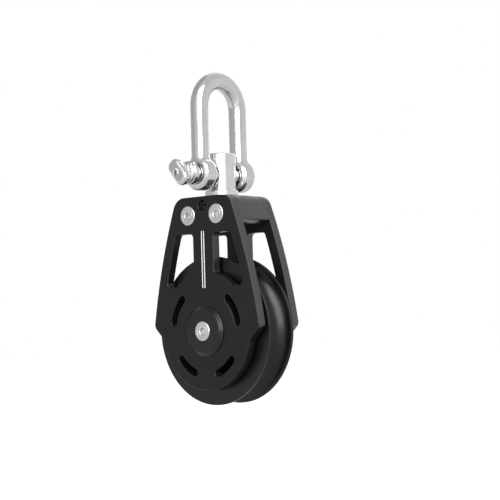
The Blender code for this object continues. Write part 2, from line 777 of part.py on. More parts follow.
def shackle_pin():
    """Plain shank through both ears, with a collar, ring and oval thumb head at the front."""
    at = (0, 0, PIN_Z)
    profile = [
        (0, PIN_TIP_Y),
        (PIN_R - PIN_TIP_CHAMFER, PIN_TIP_Y),
        (PIN_R, PIN_TIP_Y - PIN_TIP_CHAMFER),
        (PIN_R, COLLAR_Y),
        (PIN_COLLAR_R - EDGE, COLLAR_Y),
        (PIN_COLLAR_R, COLLAR_Y - EDGE),
        (PIN_COLLAR_R, COLLAR_FRONT_Y + 0.4),
        (PIN_COLLAR_R - 0.5, COLLAR_FRONT_Y),
        (RING_R - EDGE, COLLAR_FRONT_Y),
        (RING_R - EDGE, RING_Y),
        (RING_R, RING_Y - 0.1),
        (RING_R, RING_Y - 0.8),
        (NECK_R, RING_Y - 1.2),
        (NECK_R, NECK_END_Y),
        (0, NECK_END_Y),
    ]
    pin = piece("shackle_pin", turned(profile, 24, "Y"), STEEL, at)

    sections = [  # y, length scale, width scale
        (THUMB_ROOT_Y, 0.62, 0.74),
        (THUMB_ROOT_Y - 1.9, 0.94, 0.94),
        (THUMB_ROOT_Y - 2.9, 1.0, 1.0),
        (THUMB_END_Y + 1.0, 1.0, 1.0),
        (THUMB_END_Y, 0.86, 0.86),
    ]
    thumb = loft([thumb_ring(*section) for section in sections])
    combine(pin, "pin_thumb_head", thumb, at, "UNION")
    loop = hexagon(PIN_SOCKET_FLATS, first=0)
    socket = prism(loop, THUMB_END_Y - 0.5, THUMB_END_Y + PIN_SOCKET_DEPTH)
    combine(pin, "pin_socket", socket, at)


# ---------------------------------------------------------------- build
for side, where in SIDES:
    cheek(f"cheek_plate_{where}", side)
head_block()
head_screws()
swivel_lock_screw()
hub()
roller_cage()
bearing_rollers()
sheave()
swivel_post()
swivel_washers()
swivel_nut()
shackle_bow()
shackle_pin()
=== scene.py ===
"""Looks of a single sheave block with a swivel shackle, built around its CAD frame.

The sheave axle lies along Y and the shackle stands above it, at +Z. The front is -Y.
Each mesh rides on a body of the frame, and all but the two printed lines replace a CAD node.
Lengths are in millimetres unless a comment says metres. Heights called above the axle
are measured from the sheave axle's centre line.
"""

import json
import math

import bmesh
import bpy
import numpy as np
from mathutils import Matrix, Vector, geometry

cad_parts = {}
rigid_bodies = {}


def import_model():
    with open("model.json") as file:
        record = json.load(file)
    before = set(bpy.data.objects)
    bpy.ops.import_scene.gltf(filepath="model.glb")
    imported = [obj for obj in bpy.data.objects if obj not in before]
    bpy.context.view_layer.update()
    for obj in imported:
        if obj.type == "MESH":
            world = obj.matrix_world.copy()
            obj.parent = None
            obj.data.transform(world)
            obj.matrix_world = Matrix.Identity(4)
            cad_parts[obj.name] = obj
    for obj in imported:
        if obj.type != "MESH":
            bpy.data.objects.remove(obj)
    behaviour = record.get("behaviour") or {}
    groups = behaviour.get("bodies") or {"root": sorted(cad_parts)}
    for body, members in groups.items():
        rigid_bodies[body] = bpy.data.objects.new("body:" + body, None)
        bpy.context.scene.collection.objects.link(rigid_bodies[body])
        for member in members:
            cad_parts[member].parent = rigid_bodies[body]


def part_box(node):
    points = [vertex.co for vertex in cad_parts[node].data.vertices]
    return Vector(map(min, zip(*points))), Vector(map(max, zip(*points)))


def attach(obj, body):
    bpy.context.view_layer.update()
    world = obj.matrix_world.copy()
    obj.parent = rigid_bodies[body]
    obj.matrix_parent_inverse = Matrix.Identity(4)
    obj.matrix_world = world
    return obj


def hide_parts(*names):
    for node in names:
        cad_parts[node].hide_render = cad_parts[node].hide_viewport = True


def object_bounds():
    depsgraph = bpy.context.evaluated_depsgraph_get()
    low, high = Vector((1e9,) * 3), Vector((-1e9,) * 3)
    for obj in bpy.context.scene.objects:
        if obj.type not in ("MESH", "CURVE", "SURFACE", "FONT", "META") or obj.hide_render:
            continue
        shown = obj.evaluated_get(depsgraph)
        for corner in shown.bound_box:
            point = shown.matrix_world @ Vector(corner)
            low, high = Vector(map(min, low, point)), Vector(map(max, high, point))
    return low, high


for old in list(bpy.data.objects):
    bpy.data.objects.remove(old, do_unlink=True)
scene = bpy.context.scene
scene.unit_settings.system = "METRIC"

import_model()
cad_low, cad_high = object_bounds()

MM = 0.001
SIDES = ((-1, "front"), (1, "rear"))


def middle(node):
    """Centre of a CAD node's box."""
    low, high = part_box(node)
    return (low + high) / 2 / MM


def span(node):
    """Size of a CAD node's box."""
    low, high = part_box(node)
    return (high - low) / MM


# ---------------------------------------------------------------- sizes
AXLE_Z = round(middle("sheave").z, 3)
HUB = (0.0, 0.0, AXLE_Z)

# cheek plates: Y of both faces, then the outline in X and height above the axle
cheek_low, cheek_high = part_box("cheek_plate_rear")
CHEEK_OUT = round(cheek_high.y / MM, 3)
CHEEK_IN = round(cheek_low.y / MM, 3)
THICK = CHEEK_OUT - CHEEK_IN
CHEEK_TOP = round(cheek_high.z / MM - AXLE_Z, 3)
CHEEK_CORNER_R = 6.25
SIDE_R = 250.0
SIDE_CENTRE = (-217.4, -36.9)
SHOULDER_R = 2.6
SHOULDER_POINT = (28.69, 0.95)
SHOULDER_FILLET = 2.5
LOBE_R = 24.26
CHEEK_CHAMFER = 0.3

# the two windows beside the spine
SPINE_HALF = 5.7
LEG_WIDTH = 4.75
WINDOW_TOP = 40.0
WINDOW_LOW_R = 24.3
WINDOW_FOOT = 18.3
WINDOW_CORNER = 1.8

# curved slots round the axle, and the angles in degrees at which their end centres lie
SLOT_R = 18.2
SLOT_HALF = 1.6
SLOT_UPPER = (11.2, 45.8)
SLOT_LOWER = (-68.8, -39.7)

# printed lines
LINE_X = 0.62
LINE_HALF = 0.2
LINE_LOW = 17.6
LINE_HIGH = 40.9
LINE_LIFT = 0.03

# head block
head_low, head_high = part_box("head_block")
HEAD_IN = round(head_high.y / MM, 3)
HEAD_BOTTOM = round(head_low.z / MM - AXLE_Z, 3)
HEAD_CORNER_R = 8.06
HEAD_CORNER_X = 13.84
HEAD_EDGE_R = 1.0

# screws: countersunk heads with a hexagon socket
SCREW_HEAD_R = 3.98
SCREW_PROUD = 0.5
SCREW_SHANK_R = 1.95
SCREW_HOLE_R = 2.12
SCREW_CONE = 2.03
HEAD_CLEARANCE = 0.12
SINK_WALL = 0.32
SOCKET_FLATS = 2.5
SOCKET_DEPTH = 1.6
SCREW_X = round(abs(middle("head_screw_front_left").x), 3)
SCREW_Z = round(middle("head_screw_front_left").z - AXLE_Z, 3)
HEAD_SCREW_TIP = 3.4
AXLE_SCREW_TIP = 5.6
HEAD_SCREW_TURNS = (("left", 11), ("right", 38))
AXLE_SCREW_TURN = 24

# lock screw
LOCK_Z = round(middle("swivel_lock_screw").z - AXLE_Z, 3)
LOCK_HOLE_R = 2.15
LOCK_R = 1.95
LOCK_FLATS = 2.0
LOCK_FRONT = -7.9
THREAD_PITCH = 0.35
THREAD_DEPTH = 0.24
THREAD_START = -7.62
THREAD_STOP = -5.75

# hub
CAP_R = 10.36
CAP_H = 1.4
CAP_SPIGOT_R = 6.4
CAP_SPIGOT = 1.5
AXLE_R = 4.2
AXLE_HALF = 10.6
AXLE_CHAMFER = 0.3
SHEAVE_R = round(span("sheave").x / 2, 3)
SHEAVE_HALF = round(span("sheave").y / 2, 3)
WEB_HALF = 5.0
GROOVE_R = 6.2
GROOVE_REACH = 83

# roller bearing
ROLLERS = 8
ROLLER_R = 2.1
ROLLER_HALF = 5.5
POCKET_SIZE = (4.4, 11.5, 4.56)
POCKET_R = 8.3

# shackle: eyes at both ends of a bent bar; heights above the axle, Y from its middle
POST_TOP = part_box("swivel_post")[1].z / MM - AXLE_Z
BAR_R = 3.69
LEG_Y = 11.55
SHACKLE_SHIFT = round(middle("shackle_bow").y, 3)
BOW_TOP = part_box("shackle_bow")[1].z / MM - AXLE_Z
PIN_Z = 64.4
PIN_CENTRE = (0, 0, AXLE_Z + PIN_Z)
CROWN = BOW_TOP - BAR_R - LEG_Y - PIN_Z
EAR_R = 6.9
EAR_Y = (7.85, 15.25)
EAR_HOLE_R = 3.7
EAR_ZONE_TOP = 18

# shackle pin: places along Y
PIN_R = 3.45
PIN_BORE_R = PIN_R + 0.25
PIN_BORE_MOUTH_R = PIN_R + 1.4
PIN_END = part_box("shackle_pin")[0].y / MM
COLLAR = -(EAR_Y[1] + 2.05) + SHACKLE_SHIFT
RING = COLLAR - 2.55
PIN_THREAD_START = 7.6
PIN_THREAD_DEPTH = 0.34
OVAL_HALF = (5.9, 3.35)
OVAL_CORNER = 3.0
OVAL_TAPER = 2.0
OVAL_TURN = math.radians(-51.0)
PIN_SOCKET_HALF = 1.25
SIN_60 = 0.866


# ---------------------------------------------------------------- meshes
def link(name, verts, faces, at=HUB):
    """Object with its origin at the point at, and its mesh about that point."""
    mesh = bpy.data.meshes.new(name)
    mesh.from_pydata([tuple(c * MM for c in v) for v in verts], [], faces)
    bm = bmesh.new()
    bm.from_mesh(mesh)
    bmesh.ops.remove_doubles(bm, verts=bm.verts, dist=2e-8)
    bmesh.ops.dissolve_degenerate(bm, edges=bm.edges, dist=1e-9)
    bmesh.ops.recalc_face_normals(bm, faces=bm.faces)
    bm.to_mesh(mesh)
    bm.free()
    return place(name, mesh, at)


def place(name, mesh, at):
    obj = bpy.data.objects.new(name, mesh)
    scene.collection.objects.link(obj)
    obj.location = Vector(at) * MM
    return obj


def carve(obj, *cutters):
    """Cuts closed shapes out of obj, and applies the cuts."""
    for cutter in cutters:
        mod = obj.modifiers.new("carve", "BOOLEAN")
        mod.operation, mod.solver, mod.object = "DIFFERENCE", "EXACT", cutter
    bpy.context.view_layer.update()
    graph = bpy.context.evaluated_depsgraph_get()
    mesh = bpy.data.meshes.new_from_object(obj.evaluated_get(graph))
    obj.modifiers.clear()
    obj.data = mesh
    for cutter in cutters:
        bpy.data.objects.remove(cutter, do_unlink=True)


def finish(obj, material, body, node=None, sharp=36.0):
    """Material, shading, and the body and CAD node of a piece; sharp=None keeps its normals."""
    obj.data.materials.clear()
    obj.data.materials.append(material)
    if sharp is not None:
        obj.data.shade_smooth()
        obj.data.set_sharp_from_angle(angle=math.radians(sharp))
        mod = obj.modifiers.new("weighted", "WEIGHTED_NORMAL")
        mod.keep_sharp = True
    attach(obj, body)
    if node:
        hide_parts(node)


def shade_plate(obj, threshold=38.0):
    """Corner normals for a plate that faces along Y: small edge faces turn into the flats."""
    mesh = obj.data
    mesh.shade_smooth()
    count = len(mesh.polygons)
    normals = np.empty(count * 3)
    areas = np.empty(count)
    mesh.polygons.foreach_get("normal", normals)
    mesh.polygons.foreach_get("area", areas)
    normals = normals.reshape(-1, 3)
    around = [[] for _ in mesh.vertices]
    for poly in mesh.polygons:
        for v in poly.vertices:
            around[v].append(poly.index)
    limit = math.cos(math.radians(threshold))
    flat = np.abs(normals[:, 1]) > 0.9999
    corners = []
    for poly in mesh.polygons:
        own = normals[poly.index]
        for v in poly.vertices:
            near = np.array(around[v])
            joined = normals[near] @ own > limit
            if (joined & flat[near]).any():
                joined &= flat[near]
            total = (normals[near][joined] * areas[near][joined, None]).sum(0)
            corners.append(tuple(total / max(np.linalg.norm(total), 1e-12)))
    mesh.normals_split_custom_set(corners)


def finish_plate(obj, material, node=None):
    shade_plate(obj)
    finish(obj, material, "frame", node, sharp=None)


def fillet(points, steps=4, closed=False):
    """Polyline with rounded corners; points are (a, b, radius)."""
    rounded, count = [], len(points)
    for i, (x, y, radius) in enumerate(points):
        if radius <= 0 or (not closed and i in (0, count - 1)):
            rounded.append((x, y))
            continue
        corner = Vector((x, y))
        back = Vector(points[i - 1][:2]) - corner
        ahead = Vector(points[(i + 1) % count][:2]) - corner
        reach = min(back.length, ahead.length) * 0.49
        back.normalize()
        ahead.normalize()
        angle = back.angle(ahead)
        setback = min(radius / math.tan(angle / 2), reach)
        radius = setback * math.tan(angle / 2)
        centre = corner + (back + ahead).normalized() * (radius / math.sin(angle / 2))
        first, last = corner + back * setback - centre, corner + ahead * setback - centre
        turn = math.atan2(first.x * last.y - first.y * last.x, first.dot(last))
        start = math.atan2(first.y, first.x)
        for k in range(steps + 1):
            at = start + turn * k / steps
            rounded.append((centre.x + radius * math.cos(at), centre.y + radius * math.sin(at)))
    return rounded


def lathe(profile, steps, axis="Z", closed=False, turn=0.0):
    """Turned body. A point is (radius, height), or (across flats, height, "hex") for a hexagon."""
    verts, rings = [], []
    for radius, height, *hexagon in profile:
        if abs(radius) < 1e-9:
            rings.append([len(verts)])
            verts.append((0.0, 0.0, height))
            continue
        ring = []
        for i in range(steps):
            angle = math.tau * i / steps + turn
            here = radius
            if hexagon:
                off_flat = (math.tau * i / steps + math.pi / 6) % (math.pi / 3) - math.pi / 6
                here = radius / 2 / math.cos(off_flat)
            ring.append(len(verts))
            verts.append((here * math.cos(angle), here * math.sin(angle), height))
        rings.append(ring)
    faces = []
    pairs = list(zip(rings, rings[1:])) + ([(rings[-1], rings[0])] if closed else [])
    for a, b in pairs:
        for i in range(steps):
            j = (i + 1) % steps
            if len(a) == 1:
                faces.append((a[0], b[j], b[i]))
            elif len(b) == 1:
                faces.append((a[i], a[j], b[0]))
            else:
                faces.append((a[i], a[j], b[j], b[i]))
    if axis == "Y":
        verts = [(x, z, -y) for x, y, z in verts]
    return verts, faces


def tube(radii, heights, rounds):
    """Section of a tube; each argument is a pair: inner and outer, low and high."""
    (inner, outer), (low, high), (inner_round, outer_round) = radii, heights, rounds
    return [
        (inner, low, inner_round), (outer, low, outer_round),
        (outer, high, outer_round), (inner, high, inner_round),
    ]


def turned_ring(name, section, corner_steps, steps, axis="Z"):
    rounded = fillet(section, corner_steps, closed=True)
    return link(name, *lathe(rounded, steps, axis, closed=True))


def box_shape(size, at, turn=Matrix.Identity(3)):
    half_x, half_y, half_z = (s / 2 for s in size)
    signs = (-1, 1)
    verts = [
        turn @ (Vector((x * half_x, y * half_y, z * half_z)) + Vector(at))
        for x in signs for y in signs for z in signs
    ]
    faces = [(0, 1, 3, 2), (4, 6, 7, 5), (0, 4, 5, 1), (2, 3, 7, 6), (0, 2, 6, 4), (1, 5, 7, 3)]
    return [tuple(v) for v in verts], faces


# ---------------------------------------------------------------- flat outlines
# An outline is a list of (x, z, normal x, normal z), with normals out of the enclosed area.
class Line:
    """Half plane through point, normal pointing to the inside."""

    def __init__(self, point, normal):
        self.point, self.normal = Vector(point), Vector(normal).normalized()

    def inward(self, spot):
        return self.normal

    def distance(self, spot):
        return (spot - self.point).dot(self.normal)

    def walk(self, a, b):
        return [(p.x, p.y, -self.normal.x, -self.normal.y) for p in (a, b)]


class Circle:
    """Inside of a circle, or its outside when keep_in is False."""

    def __init__(self, centre, radius, keep_in=True):
        self.centre, self.radius, self.sign = Vector(centre), radius, (1 if keep_in else -1)

    def inward(self, spot):
        return -self.sign * (spot - self.centre).normalized()

    def distance(self, spot):
        return self.sign * (self.radius - (spot - self.centre).length)

    def walk(self, a, b):
        return sweep(self.centre, a, b, self.sign)


# coarsest arc steps: degrees on wide and tight arcs, and length
WIDE_ARC_R = 12
WIDE_STEP, TIGHT_STEP = 3.0, 9.0
LONGEST_STEP = 2.2


def sweep(centre, a, b, out):
    """Arc from a to b round centre; out is -1 where the material is outside the arc."""
    first, last = a - centre, b - centre
    turn = math.atan2(first.x * last.y - first.y * last.x, first.dot(last))
    radius = first.length
    step = WIDE_STEP if radius > WIDE_ARC_R else TIGHT_STEP
    by_angle = math.ceil(abs(math.degrees(turn)) / step)
    count = max(1, by_angle, math.ceil(abs(turn) * radius / LONGEST_STEP))
    start = math.atan2(first.y, first.x)
    points = []
    for i in range(count + 1):
        angle = start + turn * i / count
        cos, sin = math.cos(angle), math.sin(angle)
        points.append((centre.x + radius * cos, centre.y + radius * sin, out * cos, out * sin))
    return points


def arc(x, z, radius, start, stop, steps, out=1):
    """Arc between two angles in degrees, as outline points."""
    points = []
    for i in range(steps + 1):
        angle = math.radians(start + (stop - start) * i / steps)
        cos, sin = math.cos(angle), math.sin(angle)
        points.append((x + radius * cos, z + radius * sin, out * cos, out * sin))
    return points


def circle_loop(x, z, radius, steps):
    angles = [math.tau * i / steps for i in range(steps)]
    return [
        (x + radius * math.cos(a), z + radius * math.sin(a), math.cos(a), math.sin(a))
        for a in angles
    ]


def meet(one, two, gap, guess):
    """Point at signed distance gap from both curves, by Newton steps from guess."""
    spot = Vector(guess)
    for _ in range(60):
        g, h = one.inward(spot), two.inward(spot)
        miss_one, miss_two = gap - one.distance(spot), gap - two.distance(spot)
        det = g.x * h.y - g.y * h.x
        step_x = (miss_one * h.y - miss_two * g.y) / det
        step_z = (g.x * miss_two - h.x * miss_one) / det
        spot = spot + Vector((step_x, step_z))
    return spot


def joint(one, two, radius, guess):
    """Rounding between two curves: (centre, end on one, end on two, side of the material)."""
    centre = meet(one, two, radius, guess)
    on_one = centre - radius * one.inward(centre)
    on_two = centre - radius * two.inward(centre)
    return centre, on_one, on_two, 1 if radius > 0 else -1


def tidy(points, closed=True):
    """Drops points that repeat the one before them."""

    def apart(p, q):
        return math.hypot(p[0] - q[0], p[1] - q[1])

    clean = []
    for p in points:
        if not clean or apart(p, clean[-1]) > 1e-4:
            clean.append(p)
    if closed and apart(clean[0], clean[-1]) < 1e-4:
        clean.pop()
    return clean


def path(curves, corners, start=None, end=None):
    """Loop along curves, or an open run from start to end.

    corners[i] = (radius, guess of its centre) joins curve i to the next.
    """
    count = len(curves)
    joints = [joint(curves[i], curves[(i + 1) % count], *c) for i, c in enumerate(corners)]
    points = [] if start is None else curves[0].walk(start, joints[0][1])
    for i, (centre, leave, land, out) in enumerate(joints):
        points += sweep(centre, leave, land, out)
        is_end = end is not None and i + 1 == len(joints)
        stop = end if is_end else joints[(i + 1) % len(joints)][1]
        points += curves[(i + 1) % count].walk(land, stop)
    return tidy(points, closed=start is None)


def mirrored(points):
    return [(-x, z, -nx, nz) for x, z, nx, nz in reversed(points)]


def both_sides(half):
    """Closed loop from a right half that starts and ends on the middle line."""
    return half + mirrored(half[1:-1])


# the top edge and the right side, shared by the cheeks and the head block
TOP_EDGE = Line((0, CHEEK_TOP), (0, -1))
SIDE_EDGE = Circle(SIDE_CENTRE, SIDE_R)
TOP_CORNER = (CHEEK_CORNER_R, (11, 48))
TOP_MIDDLE = Vector((0, CHEEK_TOP))


def cheek_loop():
    under = Line(SHOULDER_POINT, (-1, 1))
    lobe = Circle((0, 0), LOBE_R)
    corners = [TOP_CORNER, (SHOULDER_R, (27, 3)), (-SHOULDER_FILLET, (26.5, -4))]
    curves = [TOP_EDGE, SIDE_EDGE, under, lobe]
    return both_sides(path(curves, corners, TOP_MIDDLE, Vector((0, -LOBE_R))))


def window_loop():
    curves = [
        Line((SPINE_HALF, 30), (1, 0)),
        Line((10, WINDOW_TOP), (0, -1)),
        Circle(SIDE_CENTRE, SIDE_R - LEG_WIDTH),
        Line((18, WINDOW_FOOT), (0, 1)),
        Circle((0, 0), WINDOW_LOW_R, keep_in=False),
    ]
    guesses = [(7.5, 38), (14, 38), (19, 20), (17, 20), (7.5, 25)]
    return path(curves, [(WINDOW_CORNER, guess) for guess in guesses])


def slot_loop(low, high):
    """Curved slot between two angles, with round ends."""
    low_end, high_end = [
        Vector((SLOT_R * math.cos(math.radians(a)), SLOT_R * math.sin(math.radians(a))))
        for a in (low, high)
    ]
    points = arc(0, 0, SLOT_R + SLOT_HALF, low, high, 18)
    points += arc(high_end.x, high_end.y, SLOT_HALF, high, high + 180, 16)
    points += arc(0, 0, SLOT_R - SLOT_HALF, high, low, 16, out=-1)
    points += arc(low_end.x, low_end.y, SLOT_HALF, low + 180, low + 360, 16)
    return tidy(points)


def head_loop():
    soft = Circle((HEAD_CORNER_X, HEAD_BOTTOM + HEAD_CORNER_R), HEAD_CORNER_R)
    base = Line((0, HEAD_BOTTOM), (0, 1))
    corner = joint(TOP_EDGE, SIDE_EDGE, *TOP_CORNER)
    edge = joint(SIDE_EDGE, soft, HEAD_EDGE_R, (18, 46))
    low = Vector((HEAD_CORNER_X, HEAD_BOTTOM))
    half = TOP_EDGE.walk(TOP_MIDDLE, corner[1]) + sweep(*corner)
    half += SIDE_EDGE.walk(corner[2], edge[1]) + sweep(*edge)
    half += sweep(soft.centre, edge[2], low, 1) + base.walk(low, Vector((0, HEAD_BOTTOM)))
    return both_sides(tidy(half, closed=False))


def broken_edge(chamfer, radius, steps=2):
    """(inset, depth) points of a chamfered edge whose two corners are slightly rounded."""
    far = chamfer + 2
    points = [(far, 0, 0), (chamfer, 0, radius), (0, chamfer, radius), (0, far, 0)]
    return fillet(points, steps)[1:-1]


def mirror_depth(edge, thick):
    return [(inset, thick - depth) for inset, depth in reversed(edge)]


def through(chamfer, back, radius=0.08):
    """Edge of a cut through a cheek, with a chamfer on the outer face and one at the back."""
    return broken_edge(chamfer, radius) + mirror_depth(broken_edge(back, 0.05, 1), THICK)


def plate(name, side, face, cuts):
    """Flat plate with holes, its face at Y = side * face.

    cuts are (loop, grow, [(inset, depth), ...]); the first is the outer edge, with grow -1.
    """
    verts, faces, fronts, backs = [], [], [], []
    for loop, grow, profile in cuts:
        count = len(loop)
        rings = []
        for inset, depth in profile:
            rings.append(list(range(len(verts), len(verts) + count)))
            verts += [
                (x + nx * inset * grow, side * (face - depth), z + nz * inset * grow)
                for x, z, nx, nz in loop
            ]
        for a, b in zip(rings, rings[1:]):
            faces += [(a[i], a[(i + 1) % count], b[(i + 1) % count], b[i]) for i in range(count)]
        fronts.append(rings[0])
        backs.append(rings[-1])
    for group in (fronts, backs):
        flat = [i for ring in group for i in ring]
        loops = [[Vector((verts[i][0], verts[i][2], 0)) for i in ring] for ring in group]
        triangles = geometry.tessellate_polygon(loops)
        faces += [tuple(flat[i] for i in triangle) for triangle in triangles]
    return link(name, verts, faces)


# ---------------------------------------------------------------- smooth solids from distances
def smooth_min(a, b, width):
    h = np.clip(width - np.abs(a - b), 0, None) / width
    return np.minimum(a, b) - h * h * width / 4


def smooth_max(a, b, width):
    return -smooth_min(-a, -b, width)


def rounded_pair(a, b, radius):
    """Distance to the shape inside both a and b, with its edge rounded."""
    u, v = a + radius, b + radius
    return np.minimum(np.maximum(u, v), 0) + np.hypot(np.maximum(u, 0), np.maximum(v, 0)) - radius


def cell_points(distance, cells):
    """Mean of the points where the surface crosses each cell's edges, in cells."""
    total, hits = np.zeros((len(cells), 3)), np.zeros(len(cells))
    for corner in [(i, j, k) for i in (0, 1) for j in (0, 1) for k in (0, 1)]:
        for axis in range(3):
            if corner[axis]:
                continue
            other = list(corner)
            other[axis] = 1
            a = distance[tuple((cells + corner).T)]
            b = distance[tuple((cells + other).T)]
            cross = (a < 0) != (b < 0)
            t = np.where(cross, a / np.where(cross, a - b, 1), 0)
            point = np.repeat(np.array([corner], float), len(cells), 0)
            point[:, axis] += t
            total[cross] += point[cross]
            hits[cross] += 1
    return cells + total / hits[:, None]


def cell_quads(inside, index):
    """A quad round every grid edge that crosses the surface, joining its four cells."""
    shape = inside.shape
    quads = []
    for axis in range(3):
        u, v = [i for i in range(3) if i != axis]
        ahead = [slice(None)] * 3
        behind = [slice(None)] * 3
        ahead[axis], behind[axis] = slice(1, None), slice(None, -1)
        crossing = np.argwhere(inside[tuple(ahead)] != inside[tuple(behind)])
        keep = (crossing[:, u] > 0) & (crossing[:, v] > 0)
        keep &= (crossing[:, u] < shape[u] - 1) & (crossing[:, v] < shape[v] - 1)
        crossing = crossing[keep]
        ring = []
        for du, dv in ((-1, -1), (0, -1), (0, 0), (-1, 0)):
            cell = crossing.copy()
            cell[:, u] += du
            cell[:, v] += dv
            ring.append(index[tuple(cell.T)])
        ring = np.stack(ring, 1)
        out = inside[tuple(crossing.T)]
        if axis == 1:
            out = ~out
        ring[~out] = ring[~out][:, ::-1]
        quads.append(ring)
    return np.concatenate(quads)


def slope(field, points, hop_length=0.01):
    parts = []
    for axis in range(3):
        hop = np.zeros(3)
        hop[axis] = hop_length
        rise = field(*(points + hop).T) - field(*(points - hop).T)
        parts.append(rise / (2 * hop_length))
    return np.stack(parts, 1)


def skin(field, low, high, step):
    """(vertices, quads, normals) of the surface where field is 0, drawn onto it by slope steps."""
    axes = [np.arange(low[i], high[i] + step, step) for i in range(3)]
    distance = field(*np.meshgrid(*axes, indexing="ij"))
    inside = distance < 0
    size = [s - 1 for s in distance.shape]
    count = sum(
        inside[i : i + size[0], j : j + size[1], k : k + size[2]].astype(np.int8)
        for i in (0, 1) for j in (0, 1) for k in (0, 1)
    )
    active = (count > 0) & (count < 8)
    index = np.full(active.shape, -1)
    index[active] = np.arange(active.sum())
    verts = np.array(low) + cell_points(distance, np.argwhere(active)) * step
    quads = cell_quads(inside, index)
    for _ in range(5):
        grad = slope(field, verts)
        move = field(*verts.T) / np.maximum((grad * grad).sum(1), 0.2)
        verts -= np.clip(move, -step / 2, step / 2)[:, None] * grad
    grad = slope(field, verts)
    return verts, quads, grad / np.maximum(np.linalg.norm(grad, axis=1), 1e-9)[:, None]


def skinned(name, field, low, high, step, at):
    verts, quads, normals = skin(field, low, high, step)
    mesh = bpy.data.meshes.new(name)
    mesh.from_pydata((verts * MM).tolist(), [], quads.tolist())
    mesh.validate()
    mesh.shade_smooth()
    mesh.normals_split_custom_set_from_vertices(normals.tolist())
    return place(name, mesh, at)


# ---------------------------------------------------------------- shader nodes
class Nodes:
    """Builds nodes in the tree of a material or world. Inputs are sockets or plain values."""

    def __init__(self, owner):
        owner.use_nodes = True
        self.tree = owner.node_tree
        self.tree.nodes.clear()

    def fill(self, node, inputs):
        for key, value in inputs.items():
            if isinstance(value, bpy.types.NodeSocket):
                self.tree.links.new(value, node.inputs[key])
            else:
                node.inputs[key].default_value = value

    def add(self, kind, inputs=None, **settings):
        node = self.tree.nodes.new("ShaderNode" + kind)
        for key, value in settings.items():
            setattr(node, key, value)
        self.fill(node, inputs or {})
        return node

    def socket(self, kind, inputs=None, **settings):
        """First output of a new node."""
        return self.add(kind, inputs, **settings).outputs[0]

    def math(self, operation, *values, clamp=False):
        inputs = dict(enumerate(values))
        return self.socket("Math", inputs, operation=operation, use_clamp=clamp)

    def plus(self, a, b):
        return self.math("ADD", a, b)

    def times(self, a, b, clamp=False):
        return self.math("MULTIPLY", a, b, clamp=clamp)

    def remap(self, value, low, high, to_low=0.0, to_high=1.0):
        inputs = {"Value": value, "From Min": low, "From Max": high}
        return self.socket("MapRange", {**inputs, "To Min": to_low, "To Max": to_high})

    def noise(self, vector, scale, detail=3.0, rough=0.5, distortion=0.0):
        inputs = {"Vector": vector, "Scale": scale, "Detail": detail}
        inputs.update({"Roughness": rough, "Distortion": distortion})
        return self.add("TexNoise", inputs).outputs["Fac"]

    def mix(self, factor, a, b):
        """Colour a where factor is 0 and b where it is 1."""
        node = self.add("Mix", {"Factor": factor, 6: a, 7: b}, data_type="RGBA")
        return node.outputs[2]

    def length(self, vector):
        return self.add("VectorMath", {0: vector}, operation="LENGTH").outputs["Value"]

    def bump(self, height, strength, distance):
        """Distance is in metres."""
        return self.socket("Bump", {"Strength": strength, "Distance": distance, "Height": height})

    def ramp(self, factor, stops):
        """Grey ramp with smooth steps; stops are (place, level)."""
        node = self.add("ValToRGB", {"Fac": factor})
        node.color_ramp.interpolation = "EASE"
        elements = node.color_ramp.elements
        while len(elements) > 1:
            elements.remove(elements[-1])
        elements[0].position = stops[0][0]
        elements[0].color = grey(stops[0][1])
        for position, level in stops[1:]:
            elements.new(position).color = grey(level)
        return node.outputs[0]


class Surface(Nodes):
    """Material with one principled shader, textured in object coordinates."""

    def __init__(self, name):
        self.material = bpy.data.materials.new(name)
        super().__init__(self.material)
        self.shader = self.add("BsdfPrincipled")
        self.add("OutputMaterial", {"Surface": self.shader.outputs[0]})
        self.coords = self.add("TexCoord").outputs["Object"]

    def stretched(self, scale, turn=(0, 0, 0)):
        inputs = {"Vector": self.coords, "Rotation": turn, "Scale": scale}
        return self.socket("Mapping", inputs)

    def turning_marks(self, axis, scale):
        """Noise that is constant round the axis, so that it draws the rings a lathe leaves."""
        x, y, z = self.add("SeparateXYZ", {0: self.coords}).outputs
        a, b, along = (x, z, y) if axis == "Y" else (x, y, z)
        radius = self.length(self.socket("CombineXYZ", {0: a, 1: b}))
        line = self.socket("CombineXYZ", {0: radius, 1: along})
        return self.noise(line, scale, detail=3.0, rough=0.6)

    def worn_and_highlit_edges(self, radius):
        """1 where the surface turns over an edge within radius, in metres, else 0."""
        soft = self.socket("Bevel", {"Radius": radius}, samples=6)
        true = self.add("NewGeometry").outputs["Normal"]
        same = self.add("VectorMath", {0: soft, 1: true}, operation="DOT_PRODUCT")
        return self.remap(same.outputs["Value"], low=0.995, high=0.86)

    def done(self, inputs):
        self.fill(self.shader, inputs)
        return self.material


def grey(value, warm=0.0):
    return (value * (1 + warm), value, value * (1 - warm), 1.0)


